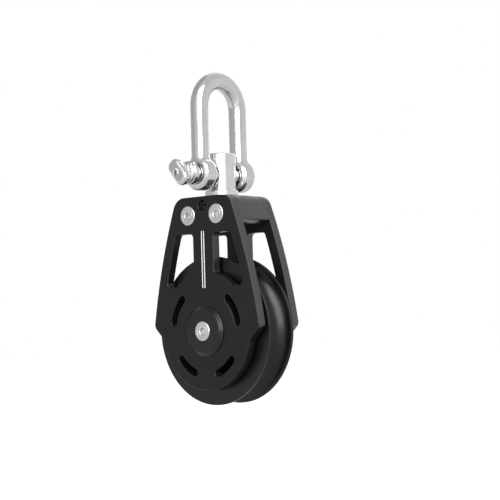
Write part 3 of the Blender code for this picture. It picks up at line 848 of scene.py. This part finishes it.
# ---------------------------------------------------------------- materials
def anodised(name, tone, rough, ior, wear_and_highlight=0.7, milled=None):
    """Hard black anodising; its edge strength argument sets how much the edges are rubbed and
    lightened, partly as wear and partly as a painted edge highlight.

    With milled, a blasted face, with milled walls whose brightness milled gives.
    Without it, a face turned about Y.
    """
    s = Surface(name)
    cloud = s.remap(s.noise(s.coords, scale=70.0, detail=4.0), low=0.35, high=0.68)
    grain = s.noise(s.coords, scale=5200.0, detail=2.0, rough=0.6)
    fine = s.noise(s.coords, scale=1500.0, detail=3.0, rough=0.6)
    # tone drifts with the clouds and the grain
    shade = s.plus(s.times(cloud, 0.55), s.times(grain, 0.45))
    colour = s.mix(shade, grey(tone * 0.7), grey(tone * 1.35, warm=0.01))
    if milled:
        facing = s.add("SeparateXYZ", {0: s.add("TexCoord").outputs["Normal"]}).outputs[1]
        wall = s.remap(s.math("ABSOLUTE", facing), low=0.66, high=0.45)
        lines = s.noise(s.stretched((260.0, 3600.0, 260.0)), scale=1.0, detail=3.0, rough=0.6)
        bright = s.mix(lines, grey(milled * 0.75), grey(milled * 1.2))
        colour = s.mix(wall, colour, bright)
    # rubbed spots along the edges, lightened partly as wear and partly as a painted edge highlight,
    # then specks of dust
    edge = s.worn_and_highlit_edges(radius=0.00035)
    spots = s.remap(s.noise(s.coords, scale=900.0, detail=5.0, rough=0.65), low=0.38, high=0.60)
    rub_and_highlight = s.times(s.times(edge, spots), wear_and_highlight, clamp=True)
    # edges lightened to grey: partly rubbed wear, partly a painted edge highlight
    colour = s.mix(rub_and_highlight, colour, grey(0.07, warm=0.02))
    specks = s.noise(s.coords, scale=2600.0, detail=3.0, rough=0.7)
    dust = s.remap(specks, low=0.66, high=0.78, to_high=0.25)
    colour = s.mix(dust, colour, grey(0.02))
    # clouds and grain spread the roughness about rough, and rubbing polishes it
    roughness = s.plus(s.times(cloud, 0.09), s.times(grain, 0.10))
    roughness = s.plus(roughness, rough - 0.09)
    roughness = s.math("SUBTRACT", roughness, s.times(rub_and_highlight, 0.08))
    if milled:
        # walls take the roughness, relief and reflection of the milling lines
        cut = s.plus(s.times(lines, 0.12), 0.22)
        gap = s.times(s.math("SUBTRACT", cut, roughness), wall)
        roughness = s.plus(roughness, gap)
        height = s.plus(grain, s.times(fine, 0.6))
        height = s.plus(height, s.times(s.times(lines, wall), 1.2))
        index = s.remap(wall, low=0.0, high=1.0, to_low=ior, to_high=1.79)
    else:
        # lathe rings stand out over a weaker grain
        height = s.plus(grain, s.times(fine, 0.6))
        marks = s.turning_marks("Y", scale=4200.0)
        height = s.plus(s.times(height, 0.35), s.times(marks, 1.5))
        roughness = s.plus(roughness, s.times(marks, 0.06))
        index = s.remap(rub_and_highlight, low=0.0, high=1.0, to_low=ior, to_high=1.6)
    bump = s.bump(height, strength=0.45, distance=0.000018)
    return s.done(
        {"Base Color": colour, "Roughness": roughness, "Normal": bump, "IOR": index, "Metallic": 0.0}
    )


def steel(
    name, tone, rough, brushed=(2600.0, 2600.0, 90.0), marks_axis=None, peel=1.0, marks_depth=1.0
):
    """Stainless steel, polished or ground.

    brushed is the noise scale of the hairlines along X, Y and Z, peel the broad unevenness,
    and marks_axis and marks_depth set the rings of the lathe.
    """
    s = Surface(name)
    cloud = s.remap(s.noise(s.coords, scale=55.0, detail=4.0, rough=0.55), low=0.3, high=0.7)
    wipes = s.noise(s.coords, scale=240.0, detail=5.0, rough=0.6, distortion=0.6)
    smear = s.remap(wipes, low=0.35, high=0.7)
    colour = s.mix(cloud, grey(tone * 0.95, warm=0.008), grey(tone * 1.04, warm=-0.004))
    hair = s.noise(s.stretched(brushed), scale=1.0, detail=3.0, rough=0.6)
    slanted = s.stretched((3200.0, 150.0, 3200.0), turn=(0.5, 0.3, 0.9))
    cross = s.noise(slanted, scale=1.0, detail=2.0, rough=0.5)
    hair_lines = s.remap(hair, low=0.64, high=0.78)
    scratch = s.math("MAXIMUM", hair_lines, s.remap(cross, low=0.68, high=0.8))
    # smears, scratches and clouds each add a little roughness
    roughness = s.plus(s.times(smear, 0.07), s.times(scratch, 0.10))
    roughness = s.plus(roughness, s.times(cloud, 0.03))
    roughness = s.plus(roughness, rough)
    # relief: broad unevenness, with the scratches cut in
    uneven = s.times(s.noise(s.coords, scale=260.0, detail=2.0), 1.2 * peel)
    height = s.plus(uneven, s.times(scratch, -0.07))
    if marks_axis:
        rings = s.turning_marks(marks_axis, scale=3600.0)
        height = s.plus(height, s.times(rings, 1.2 * marks_depth))
        roughness = s.plus(roughness, s.times(rings, 0.10))
    bump = s.bump(height, strength=0.5, distance=0.000012)
    return s.done({"Base Color": colour, "Roughness": roughness, "Normal": bump, "Metallic": 1.0})


def polymer(name, light, dark, rough, turned, glow):
    """Machined bearing plastic with flow marks and tool rings; glow is its subsurface weight."""
    s = Surface(name)
    swirl = s.noise(s.coords, scale=180.0, detail=5.0, rough=0.6, distortion=0.8)
    flow = s.remap(swirl, low=0.3, high=0.7)
    grain = s.noise(s.coords, scale=4500.0, detail=2.0)
    rings = s.turning_marks(turned, scale=3000.0)
    colour = s.mix(flow, dark, light)
    # flow marks roughen the face; its relief is rings and weaker grain
    roughness = s.plus(s.times(flow, 0.1), rough)
    height = s.plus(s.times(rings, 1.0), s.times(grain, 0.4))
    bump = s.bump(height, strength=0.4, distance=0.00001)
    inputs = {"Base Color": colour, "Roughness": roughness, "Normal": bump}
    return s.done({**inputs, "Subsurface Weight": glow, "Subsurface Scale": 0.0006})


def ink(name):
    """White pad print, a little thin and scuffed."""
    s = Surface(name)
    thin = s.remap(s.noise(s.coords, scale=2400.0, detail=4.0, rough=0.65), low=0.3, high=0.62)
    streaks = s.noise(s.stretched((500.0, 500.0, 2600.0), turn=(0, 0.35, 0)), scale=1.0)
    scuff = s.remap(streaks, low=0.66, high=0.76, to_high=0.5)
    colour = s.mix(thin, grey(0.60), grey(0.86))
    colour = s.mix(scuff, colour, grey(0.25))
    roughness = s.remap(thin, low=0.0, high=1.0, to_low=0.62, to_high=0.5)
    bump = s.bump(thin, strength=0.4, distance=0.00001)
    return s.done({"Base Color": colour, "Roughness": roughness, "Normal": bump})


BLASTED = anodised("blasted_black", tone=0.0035, rough=0.44, wear_and_highlight=0.35, ior=1.35, milled=0.004)
BLASTED_HEAD = anodised("blasted_black_head", tone=0.0035, rough=0.44, ior=1.36, milled=0.010)
TURNED_BLACK = anodised("turned_black", tone=0.002, rough=0.27, wear_and_highlight=0.5, ior=1.42)
CAP_BLACK = anodised("turned_black_cap", tone=0.001, rough=0.19, wear_and_highlight=0.5, ior=1.47)
POLISHED = steel("polished_steel", tone=0.64, rough=0.09, peel=0.4)
POLISHED_POST = steel(
    "polished_steel_post", tone=0.72, rough=0.12, marks_axis="Z", peel=0.4, marks_depth=0.2
)
POLISHED_PIN = steel(
    "polished_steel_pin", tone=0.66, rough=0.11, brushed=(2600.0, 90.0, 2600.0), peel=0.4
)
SATIN = steel("satin_screw_steel", tone=0.62, rough=0.31, marks_axis="Y", marks_depth=0.4)
GROUND = steel("ground_steel", tone=0.56, rough=0.20, marks_axis="Y", marks_depth=0.8)
GROUND_Z = steel("ground_steel_nut", tone=0.56, rough=0.22, marks_axis="Z")
CAGE_PLASTIC = polymer(
    "bearing_cage_plastic",
    light=(0.50, 0.39, 0.20, 1), dark=(0.40, 0.30, 0.15, 1), rough=0.45, turned="Y", glow=0.08,
)
WASHER_LOOK = dict(light=(0.80, 0.80, 0.76, 1), dark=(0.70, 0.70, 0.66, 1), rough=0.42, glow=0.1)
WASHER_Y = polymer("washer_plastic_axle", turned="Y", **WASHER_LOOK)
WASHER_Z = polymer("washer_plastic_swivel", turned="Z", **WASHER_LOOK)
INK = ink("white_print")


# ---------------------------------------------------------------- plates and head block
def cheek_plate(side, where):
    cuts = [(cheek_loop(), -1, through(CHEEK_CHAMFER, back=0.25, radius=0.10))]
    window = window_loop()
    for loop in (window, mirrored(window)):
        cuts.append((loop, 1, through(0.25, back=0.25)))
    for reach in (SLOT_UPPER, SLOT_LOWER):
        slot = slot_loop(*reach)
        for loop in (slot, mirrored(slot)):
            cuts.append((loop, 1, through(0.16, back=0.16, radius=0.05)))
    # countersunk screw holes, (inset, depth, rounding)
    grow = SCREW_HEAD_R + HEAD_CLEARANCE - SCREW_HOLE_R
    sink = [
        (grow + 2, 0, 0), (grow, 0, 0.1), (grow, SINK_WALL, 0),
        (0, SINK_WALL + SCREW_CONE, 0.1), (0, THICK, 0),
    ]
    sink = fillet(sink, 3)[1:]
    for x in (-SCREW_X, SCREW_X):
        cuts.append((circle_loop(x, SCREW_Z, SCREW_HOLE_R, 72), 1, sink))
    cuts.append((circle_loop(0, LOCK_Z, LOCK_HOLE_R, 64), 1, through(0.22, back=0.1)))
    # stepped bore for the hub cap's spigot and the axle
    deep = CAP_SPIGOT + 0.1
    grow = CAP_SPIGOT_R - AXLE_R
    bore = [(grow, 0), (grow, deep), (0, deep), (0, THICK)]
    cuts.append((circle_loop(0, 0, AXLE_R + 0.15, 96), 1, bore))
    cheek = plate(f"cheek_{where}", side, CHEEK_OUT, cuts)
    finish_plate(cheek, BLASTED, f"cheek_plate_{where}")


def print_line(name, x):
    """Raised printed line with round ends, upright on the front cheek's spine."""
    loop = arc(x, LINE_HIGH - LINE_HALF, LINE_HALF, 0, 180, 12)
    loop += arc(x, LINE_LOW + LINE_HALF, LINE_HALF, 180, 360, 12)
    profile = [(0.02, 0), (0.006, 0.006), (0, 0.02), (0, LINE_LIFT + 0.01)]
    finish_plate(plate(name, -1, CHEEK_OUT + LINE_LIFT, [(loop, -1, profile)]), INK)


# (radius, height above the axle)
HEAD_BORE = [
    (0, 60), (7.35, 60), (7.35, 54.7), (4.6, 54.7), (4.35, 54.45),
    (4.35, 48.3), (5.6, 48.3), (5.6, 40), (0, 40),
]


def head_block():
    edge = broken_edge(0.22, 0.06)
    profile = edge + mirror_depth(edge, 2 * HEAD_IN)
    head = plate("head", 1, HEAD_IN, [(head_loop(), -1, profile)])
    tools = [link("bore", *lathe(HEAD_BORE, 96))]
    # blind holes: mouth, wall end and drilled tip along Y
    mouth, wall_end, tip = 10, 3.1, 2.4
    for side, _ in SIDES:
        for x in (-SCREW_X, SCREW_X):
            hole = [
                (0, side * mouth), (SCREW_HOLE_R, side * mouth),
                (SCREW_HOLE_R, side * wall_end), (0, side * tip),
            ]
            tools.append(link("hole", *lathe(hole, 48, "Y"), at=(x, 0, AXLE_Z + SCREW_Z)))
    lock_bore = [(0, -10), (LOCK_HOLE_R, -10), (LOCK_HOLE_R, -3.0), (0, -3.0)]
    tools.append(link("lock_bore", *lathe(lock_bore, 48, "Y"), at=(0, 0, AXLE_Z + LOCK_Z)))
    carve(head, *tools)
    finish_plate(head, BLASTED_HEAD, "head_block")


# ---------------------------------------------------------------- screws
def screw_profile(face, tip, side):
    top = face + SCREW_PROUD
    floor_y = top - SOCKET_DEPTH
    socket = [
        (0, floor_y - 0.45), (SOCKET_FLATS, floor_y, "hex"), (SOCKET_FLATS, top - 0.22, "hex"),
        (SOCKET_FLATS + 0.02, top - 0.20, "hex"), (1.60, top - 0.02), (1.64, top),
    ]
    # (radius, Y, rounding), with a shallow ring groove in the head
    outside = [
        (1.64, top, 0), (2.52, top, 0.03),
        (2.56, top - 0.05, 0.03), (2.66, top - 0.05, 0.03), (2.70, top, 0.03),
        (SCREW_HEAD_R - 0.22, top, 0.16), (SCREW_HEAD_R, top - 0.22, 0.1),
        (SCREW_HEAD_R, face - 0.2, 0.05),
        (SCREW_SHANK_R, face - 0.2 - SCREW_CONE, 0.2), (SCREW_SHANK_R, tip + 0.5, 0.05),
        (SCREW_SHANK_R - 0.5, tip, 0.05), (0, tip, 0),
    ]
    profile = socket + fillet(outside, 3)[1:]
    return [(radius, side * y, *hexagon) for radius, y, *hexagon in profile]


def screw(node, face, tip, side, degrees):
    centre = middle(node)
    shape = lathe(screw_profile(face, tip, side), 96, "Y", turn=math.radians(degrees))
    obj = link(node + "_fine", *shape, at=(centre.x, 0, centre.z))
    finish(obj, SATIN, "frame", node)


def screws():
    for side, where in SIDES:
        for hand, degrees in HEAD_SCREW_TURNS:
            node = f"head_screw_{where}_{hand}"
            screw(node, CHEEK_OUT, HEAD_SCREW_TIP, side, degrees)
        face = CHEEK_OUT + CAP_H
        screw(f"axle_screw_{where}", face, AXLE_SCREW_TIP, side, AXLE_SCREW_TURN)


def lock_screw():
    """Grub screw with a dog point."""
    mouth_r = 1.24
    profile = [
        (0, -6.15), (LOCK_FLATS, -6.6, "hex"), (LOCK_FLATS, -7.78, "hex"), (mouth_r, LOCK_FRONT)
    ]
    outside = [(mouth_r, LOCK_FRONT, 0), (LOCK_R - 0.28, LOCK_FRONT, 0.05)]
    y = THREAD_START
    while y < THREAD_STOP:
        outside += [(LOCK_R, y, 0), (LOCK_R - THREAD_DEPTH, y + THREAD_PITCH / 2, 0)]
        y += THREAD_PITCH
    outside += [(LOCK_R, -5.6, 0.05), (1.0, -5.3, 0.05), (1.0, -4.45, 0.15), (0, -4.45, 0)]
    profile += fillet(outside, 3)[1:]
    shape = lathe(profile, 72, "Y", turn=0.3)
    lock = link("lock_screw_fine", *shape, at=(0, 0, AXLE_Z + LOCK_Z))
    finish(lock, SATIN, "lock_screw", "swivel_lock_screw")


# ---------------------------------------------------------------- hub
def hub_cap(side, where):
    low, high = CHEEK_OUT + 0.1, CHEEK_OUT + CAP_H
    sink_r = SCREW_HEAD_R + HEAD_CLEARANCE
    # (radius, distance from the middle plane, rounding)
    points = [
        (sink_r, high, 0.08), (CAP_R - 1.5, high, 0.35),
        (CAP_R, high - 1.05, 0.3), (CAP_R, low, 0.05),
        (CAP_SPIGOT_R, low, 0), (CAP_SPIGOT_R, CHEEK_OUT - CAP_SPIGOT, 0.15),
        (SCREW_HOLE_R, CHEEK_OUT - CAP_SPIGOT, 0.05),
        (SCREW_HOLE_R, high - SINK_WALL - SCREW_CONE, 0.1), (sink_r, high - SINK_WALL, 0),
    ]
    profile = [(radius, side * y) for radius, y in fillet(points, 8, closed=True)]
    obj = link(f"hub_cap_{where}_fine", *lathe(profile, 160, "Y", closed=True))
    finish(obj, CAP_BLACK, "frame", f"hub_cap_{where}")


def axle():
    bore_r, bore_end = 2.1, AXLE_HALF - AXLE_CHAMFER
    half = [
        (0, 5.0), (bore_r, 5.4), (bore_r, bore_end), (bore_r + AXLE_CHAMFER, AXLE_HALF),
        (AXLE_R - AXLE_CHAMFER, AXLE_HALF), (AXLE_R, bore_end),
    ]
    profile = half + [(radius, -y) for radius, y in reversed(half)]
    finish(link("axle_fine", *lathe(profile, 96, "Y")), GROUND, "frame", "axle")


def inner_race():
    section = tube(radii=(4.35, 6.0), heights=(-8.15, 8.15), rounds=(0.15, 0.25))
    race = turned_ring("inner_race_fine", section, 4, 128, "Y")
    finish(race, GROUND, "frame", "inner_race")


def thrust_washer(side, where):
    section = tube(radii=(6.25, 13.0), heights=(side * 7.62, side * 8.2), rounds=(0.08, 0.12))
    ring = turned_ring(f"thrust_washer_{where}_fine", section, 3, 128, "Y")
    finish(ring, WASHER_Y, "frame", f"thrust_washer_{where}")


def roller_cage():
    section = tube(radii=(7.1, 9.5), heights=(-7.2, 7.2), rounds=(0.2, 0.25))
    cage = turned_ring("roller_cage_fine", section, 3, 128, "Y")
    pockets = []
    for i in range(ROLLERS):
        turn = Matrix.Rotation(math.tau * i / ROLLERS, 3, "Y")
        pockets.append(link("pocket", *box_shape(POCKET_SIZE, (POCKET_R, 0, 0), turn)))
    carve(cage, *pockets)
    finish(cage, CAGE_PLASTIC, "cage", "roller_cage")


def rollers():
    points = [
        (0, -ROLLER_HALF, 0), (ROLLER_R, -ROLLER_HALF, 0.35),
        (ROLLER_R, ROLLER_HALF, 0.35), (0, ROLLER_HALF, 0),
    ]
    for i in range(1, ROLLERS + 1):
        node = f"bearing_roller_{i}"
        roller = link(f"roller_{i}_fine", *lathe(fillet(points, 5), 56, "Y"), at=middle(node))
        finish(roller, GROUND, f"roller_{i}", node)


def sheave():
    # (radius, Y, rounding) from the bore to the groove
    half = [
        (10.62, 7.2, 0), (10.92, 7.5, 0.1), (13.6, SHEAVE_HALF, 0.3),
        (14.4, WEB_HALF, 0.7), (21.8, WEB_HALF, 0.7), (22.6, SHEAVE_HALF, 0.3),
        (SHEAVE_R, SHEAVE_HALF, 0.2), (SHEAVE_R, 6.45, 0.25),
    ]
    bend = arc(0, 0, GROOVE_R, GROOVE_REACH, -GROOVE_REACH, 56)
    groove = [(SHEAVE_R - x, y) for x, y, _, _ in bend]
    flank = fillet([(10.62, 0, 0)] + half + [(*groove[0], 0)], 6)[1:-1]
    profile = flank + groove + [(radius, -y) for radius, y in reversed(flank)]
    obj = link("sheave_fine", *lathe(profile, 256, "Y", closed=True))
    finish(obj, TURNED_BLACK, "sheave_body", "sheave")


# ---------------------------------------------------------------- swivel
# (radius, height above the axle, rounding)
POST = [
    (0, 43.9, 0), (2.55, 43.9, 0.05), (2.95, 44.3, 0.05), (2.95, 48.0, 0),
    (4.15, 48.0, 0.1), (4.15, 49.9, 0.1), (3.6, 50.1, 0.2), (3.6, 52.7, 0.2),
    (4.15, 52.9, 0.1), (4.15, 55.5, 0), (7.0, 55.5, 0.35), (7.0, 57.9, 0.55),
    (6.05, 58.2, 0.4), (6.05, POST_TOP, 0.9), (0, POST_TOP, 0),
]
NUT = [(3.07, 44.2, 0.1), (5.3, 44.2, 0.3), (5.3, 47.1, 0.1), (3.07, 47.1, 0.1)]


def swivel_post():
    """Post about the pin's centre, with a hole for the pin that flares at both ends."""
    points = [(radius, height - PIN_Z, rounding) for radius, height, rounding in POST]
    post = link("swivel_post_fine", *lathe(fillet(points, 6), 128), at=PIN_CENTRE)
    hole = [
        (0, -9), (PIN_BORE_MOUTH_R, -9), (PIN_BORE_R, -5.0),
        (PIN_BORE_R, 5.0), (PIN_BORE_MOUTH_R, 9), (0, 9),
    ]
    carve(post, link("pin_hole", *lathe(hole, 96, "Y"), at=PIN_CENTRE))
    finish(post, POLISHED_POST, "swivel", "swivel_post", sharp=30)


def swivel_washer(node, body, radii, heights):
    ring = turned_ring(node + "_fine", tube(radii, heights, rounds=(0.05, 0.12)), 3, 96)
    finish(ring, WASHER_Z, body, node)


def swivel_nut():
    nut = turned_ring("swivel_nut_fine", NUT, 4, 96)
    size = (2.4, 1.5, 2.0)
    slots = [link("spanner", *box_shape(size, (side * 5.1, 0, 44.2))) for side in (-1, 1)]
    carve(nut, *slots)
    finish(nut, GROUND_Z, "swivel", "swivel_nut")


# ---------------------------------------------------------------- shackle
def bow_field(x, y, z):
    """Round bar bent to a bow, forged out into an eye at each end."""
    out = np.abs(y)
    over = np.hypot(np.hypot(y, z - CROWN) - LEG_Y, x)
    leg = np.sqrt(x * x + (out - LEG_Y) ** 2 + np.minimum(z, 0) ** 2)
    bar = np.where(z > CROWN, over, leg) - BAR_R
    eye = np.hypot(x, z) - EAR_R
    outer_half = rounded_pair(eye, out - EAR_Y[1], radius=2.3)
    inner_half = rounded_pair(eye, EAR_Y[0] - out, radius=2.6)
    solid = smooth_min(bar, np.maximum(outer_half, inner_half), width=1.2)
    slab = np.maximum(out - EAR_Y[1], EAR_Y[0] - out)
    solid = np.where(z < EAR_ZONE_TOP, np.maximum(solid, slab), solid)
    hole = EAR_HOLE_R - np.hypot(x, z)
    return smooth_max(solid, np.where(z < EAR_ZONE_TOP, hole, -99.0), width=0.55)


def shackle_bow():
    step = 0.26
    low, high = (-8.2, -16.6, -8.2), (8.2, 16.6, CROWN + LEG_Y + BAR_R + 1.2)
    at = (0, SHACKLE_SHIFT, AXLE_Z + PIN_Z)
    bow = skinned("shackle_bow_fine", bow_field, low, high, step, at)
    finish(bow, POLISHED, "shackle", "shackle_bow", sharp=None)


def oval_head(x, y, z):
    """Thumb head, oval across the pin and narrowing towards the ring."""
    u = x * math.cos(OVAL_TURN) + z * math.sin(OVAL_TURN)
    v = -x * math.sin(OVAL_TURN) + z * math.cos(OVAL_TURN)
    p, q = [np.abs(c) - (half - OVAL_CORNER) for c, half in zip((u, v), OVAL_HALF)]
    oval = np.hypot(np.maximum(p, 0), np.maximum(q, 0))
    oval = oval + np.minimum(np.maximum(p, q), 0) - OVAL_CORNER
    taper = np.clip((y - (RING - 3.9)) / 2.9, 0, 1)
    oval = oval + OVAL_TAPER * taper * taper * (3 - 2 * taper)
    return smooth_max(rounded_pair(oval, PIN_END - y, radius=1.7), y - (RING - 0.7), width=0.5)


def pin_socket(x, y, z, r):
    """Hexagon hole in the front end, with a chamfered rim."""
    slants = [np.abs(x * 0.5 + z * SIN_60), np.abs(x * 0.5 - z * SIN_60)]
    hexagon = np.maximum(np.maximum(np.abs(x), slants[0]), slants[1]) - PIN_SOCKET_HALF
    socket = np.maximum(hexagon, y - (PIN_END + 2.4))
    rim = r - 1.4 + (y - PIN_END) * 1.2
    return np.minimum(socket, np.maximum(rim, y - (PIN_END + 0.4)))


def pin_field(x, y, z):
    """Shank with a threaded rear tip, a collar, a ring and an oval head at the front."""
    r = np.hypot(x, z)

    def disc(radius, centre, half, edge):
        return rounded_pair(r - radius, np.abs(y - centre) - half, edge)

    # thread of 1 mm pitch that fades in along the shank
    end = EAR_Y[1] + SHACKLE_SHIFT - 0.1
    lift = np.abs(((y - np.arctan2(z, x) / math.tau) % 1.0) - 0.5) * 2
    fade = np.clip((y - PIN_THREAD_START) / 0.8, 0, 1)
    cut = PIN_THREAD_DEPTH * np.clip(lift * 1.3 - 0.15, 0, 1) * fade
    shank = rounded_pair(r - (PIN_R - cut), np.maximum(y - end, COLLAR - 4.0 - y), radius=0.45)
    collar = disc(radius=4.8, centre=COLLAR - 1.1, half=1.1, edge=0.38)
    ring = disc(radius=4.42, centre=RING - 0.4, half=0.5, edge=0.3)
    between = np.maximum(r - 4.15, np.abs(y - (RING + 0.6)) - 1.2)
    neck = rounded_pair(r - 3.8, np.maximum(RING - 2.6 - y, y - (COLLAR - 1.2)), radius=0.3)
    rings = np.minimum(collar, np.minimum(ring, between))
    solid = smooth_min(smooth_min(shank, rings, width=0.3), neck, width=0.4)
    solid = smooth_min(solid, oval_head(x, y, z), width=1.0)
    return smooth_max(solid, -pin_socket(x, y, z, r), width=0.12)


def shackle_pin():
    step = 0.20
    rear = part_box("shackle_pin")[1].y / MM
    low, high = (-7.6, PIN_END - 0.8, -7.6), (7.6, rear + 0.8, 7.6)
    pin = skinned("shackle_pin_fine", pin_field, low, high, step, PIN_CENTRE)
    finish(pin, POLISHED_PIN, "pin", "shackle_pin", sharp=None)


# ---------------------------------------------------------------- floor, light, camera
FLOOR_DROP = 0.12  # metres below the block
FLOOR_RINGS = (0.0, 1500.0, 4000.0)

# azimuth in degrees from +X towards +Y, and how bright the studio is there
STUDIO = [
    (-180, 0.56), (-128, 0.56), (-108, 0.68), (-92, 0.86), (-70, 1.0), (-18, 0.92), (0, 0.76),
    (25, 0.84), (60, 0.84), (95, 0.9), (118, 1.05), (134, 0.95), (150, 0.60), (180, 0.56),
]
# height of the direction, 0 straight down and 1 straight up, and the level there
STUDIO_HEIGHT = [(0.0, 0.15), (0.38, 0.3), (0.47, 0.5), (0.70, 0.5), (0.85, 0.44), (1.0, 0.42)]


def floor_material(name, diffuse, seen_glow, other_glow):
    """Matte white that glows seen_glow to the camera and other_glow or more to other rays."""
    material = bpy.data.materials.new(name)
    n = Nodes(material)
    coords = n.add("TexCoord").outputs["Object"]
    mottle = n.remap(n.noise(coords, scale=3.0, detail=4.0), low=0.3, high=0.7)
    colour = n.mix(mottle, grey(diffuse * 0.99), grey(diffuse))
    roughness = n.remap(mottle, low=0, high=1, to_low=0.4, to_high=0.6)
    matte = n.socket("BsdfDiffuse", {"Color": colour, "Roughness": roughness})
    ray = n.add("LightPath").outputs["Is Camera Ray"]
    away = n.length(coords)
    # in metres from the middle: the glow off camera grows outwards
    reflected = n.remap(away, low=0.25, high=1.6, to_low=other_glow, to_high=other_glow + 0.32)
    strength = n.remap(ray, low=0.0, high=1.0, to_low=reflected, to_high=seen_glow)
    light = n.socket("Emission", {"Color": (1, 1, 1, 1), "Strength": strength})
    n.add("OutputMaterial", {"Surface": n.socket("AddShader", {0: matte, 1: light})})
    return material


def studio_floor():
    verts, faces = lathe([(radius, 0.0) for radius in FLOOR_RINGS], 64)
    floor = link("floor", verts, faces, at=(0, 0, (cad_low.z - FLOOR_DROP) / MM))
    material = floor_material("pale_floor", diffuse=0.42, seen_glow=0.9, other_glow=0.25)
    floor.data.materials.append(material)


def studio_world():
    """Soft studio surround for all rays but the camera's, which see plain white."""
    world = bpy.data.worlds.new("studio")
    scene.world = world
    n = Nodes(world)
    direction = n.add("TexCoord").outputs["Generated"]
    axes = n.add("SeparateXYZ", {0: direction}).outputs
    azimuth = n.math("ARCTAN2", axes[1], axes[0])
    around = n.remap(azimuth, low=-math.pi, high=math.pi)
    # levels are halved to fit a ramp
    sides = n.ramp(around, [((degrees + 180) / 360, level / 2) for degrees, level in STUDIO])
    upward = n.ramp(n.remap(axes[2], low=-1.0, high=1.0), STUDIO_HEIGHT)
    # 4 undoes the halving and doubles the level by height
    glow = n.times(n.times(sides, upward), 4.0)
    seen = n.add("LightPath").outputs["Is Camera Ray"]
    strength = n.socket("Mix", {"Factor": seen, 2: glow, 3: 1.0}, data_type="FLOAT")
    back = n.add("Background", {"Color": (1, 1, 1, 1)})
    n.fill(back, {"Strength": strength})
    n.add("OutputWorld", {"Surface": back.outputs[0]})


def softbox(name, azimuth, elevation, distance, width, height, power):
    """Area light aimed at the block's middle; degrees, metres and watts."""
    target = Vector((0.0, 0.0, (cad_low.z + cad_high.z) / 2))
    a, e = math.radians(azimuth), math.radians(elevation)
    toward = Vector((math.cos(a) * math.cos(e), math.sin(a) * math.cos(e), math.sin(e)))
    spot = target + distance * toward
    data = bpy.data.lights.new(name, "AREA")
    data.shape, data.size, data.size_y, data.energy = "RECTANGLE", width, height, power
    lamp = bpy.data.objects.new(name, data)
    lamp.location = spot
    lamp.rotation_mode = "QUATERNION"
    lamp.rotation_quaternion = (target - spot).to_track_quat("-Z", "Y")
    lamp.visible_camera = False
    scene.collection.objects.link(lamp)


# in metres: the camera's place, and its own X and Z axes; it looks against backward
CAMERA_PLACE = (0.37341, -0.40216, AXLE_Z * MM + 0.00944)
CAMERA_RIGHT = (0.7452, 0.6662, -0.0292)
CAMERA_BACKWARD = (0.6649, -0.7457, -0.0428)


def set_camera():
    data = bpy.data.cameras.new("camera")
    data.lens = 95.09
    data.sensor_width = 36.0
    data.clip_start = 0.01
    data.clip_end = 50.0
    camera = bpy.data.objects.new("camera", data)
    scene.collection.objects.link(camera)
    right = Vector(CAMERA_RIGHT).normalized()
    backward = Vector(CAMERA_BACKWARD).normalized()
    up = backward.cross(right).normalized()
    right = up.cross(backward).normalized()
    turn = Matrix((right, up, backward)).transposed().to_4x4()
    camera.matrix_world = Matrix.Translation(CAMERA_PLACE) @ turn
    scene.camera = camera
    scene.view_settings.view_transform = "Standard"
    scene.view_settings.look = "None"


# ---------------------------------------------------------------- build
for side, where in SIDES:
    cheek_plate(side, where)
print_line("print_line_left", -LINE_X)
print_line("print_line_right", LINE_X)
head_block()
screws()
lock_screw()
for side, where in SIDES:
    hub_cap(side, where)
axle()
inner_race()
for side, where in SIDES:
    thrust_washer(side, where)
roller_cage()
rollers()
sheave()
swivel_post()
swivel_washer("swivel_washer_upper", "frame", radii=(4.3, 7.0), heights=(54.8, 55.4))
swivel_washer("swivel_washer_lower", "swivel", radii=(3.4, 5.4), heights=(47.2, 47.9))
swivel_nut()
shackle_bow()
shackle_pin()

studio_floor()
studio_world()
# the softbox's bright middle, and its dimmer edge
softbox("key", azimuth=-44, elevation=29, distance=1.1, width=0.80, height=1.16, power=16.5)
softbox("key_edge", azimuth=-46, elevation=29, distance=1.12, width=1.08, height=1.34, power=2.4)
set_camera()
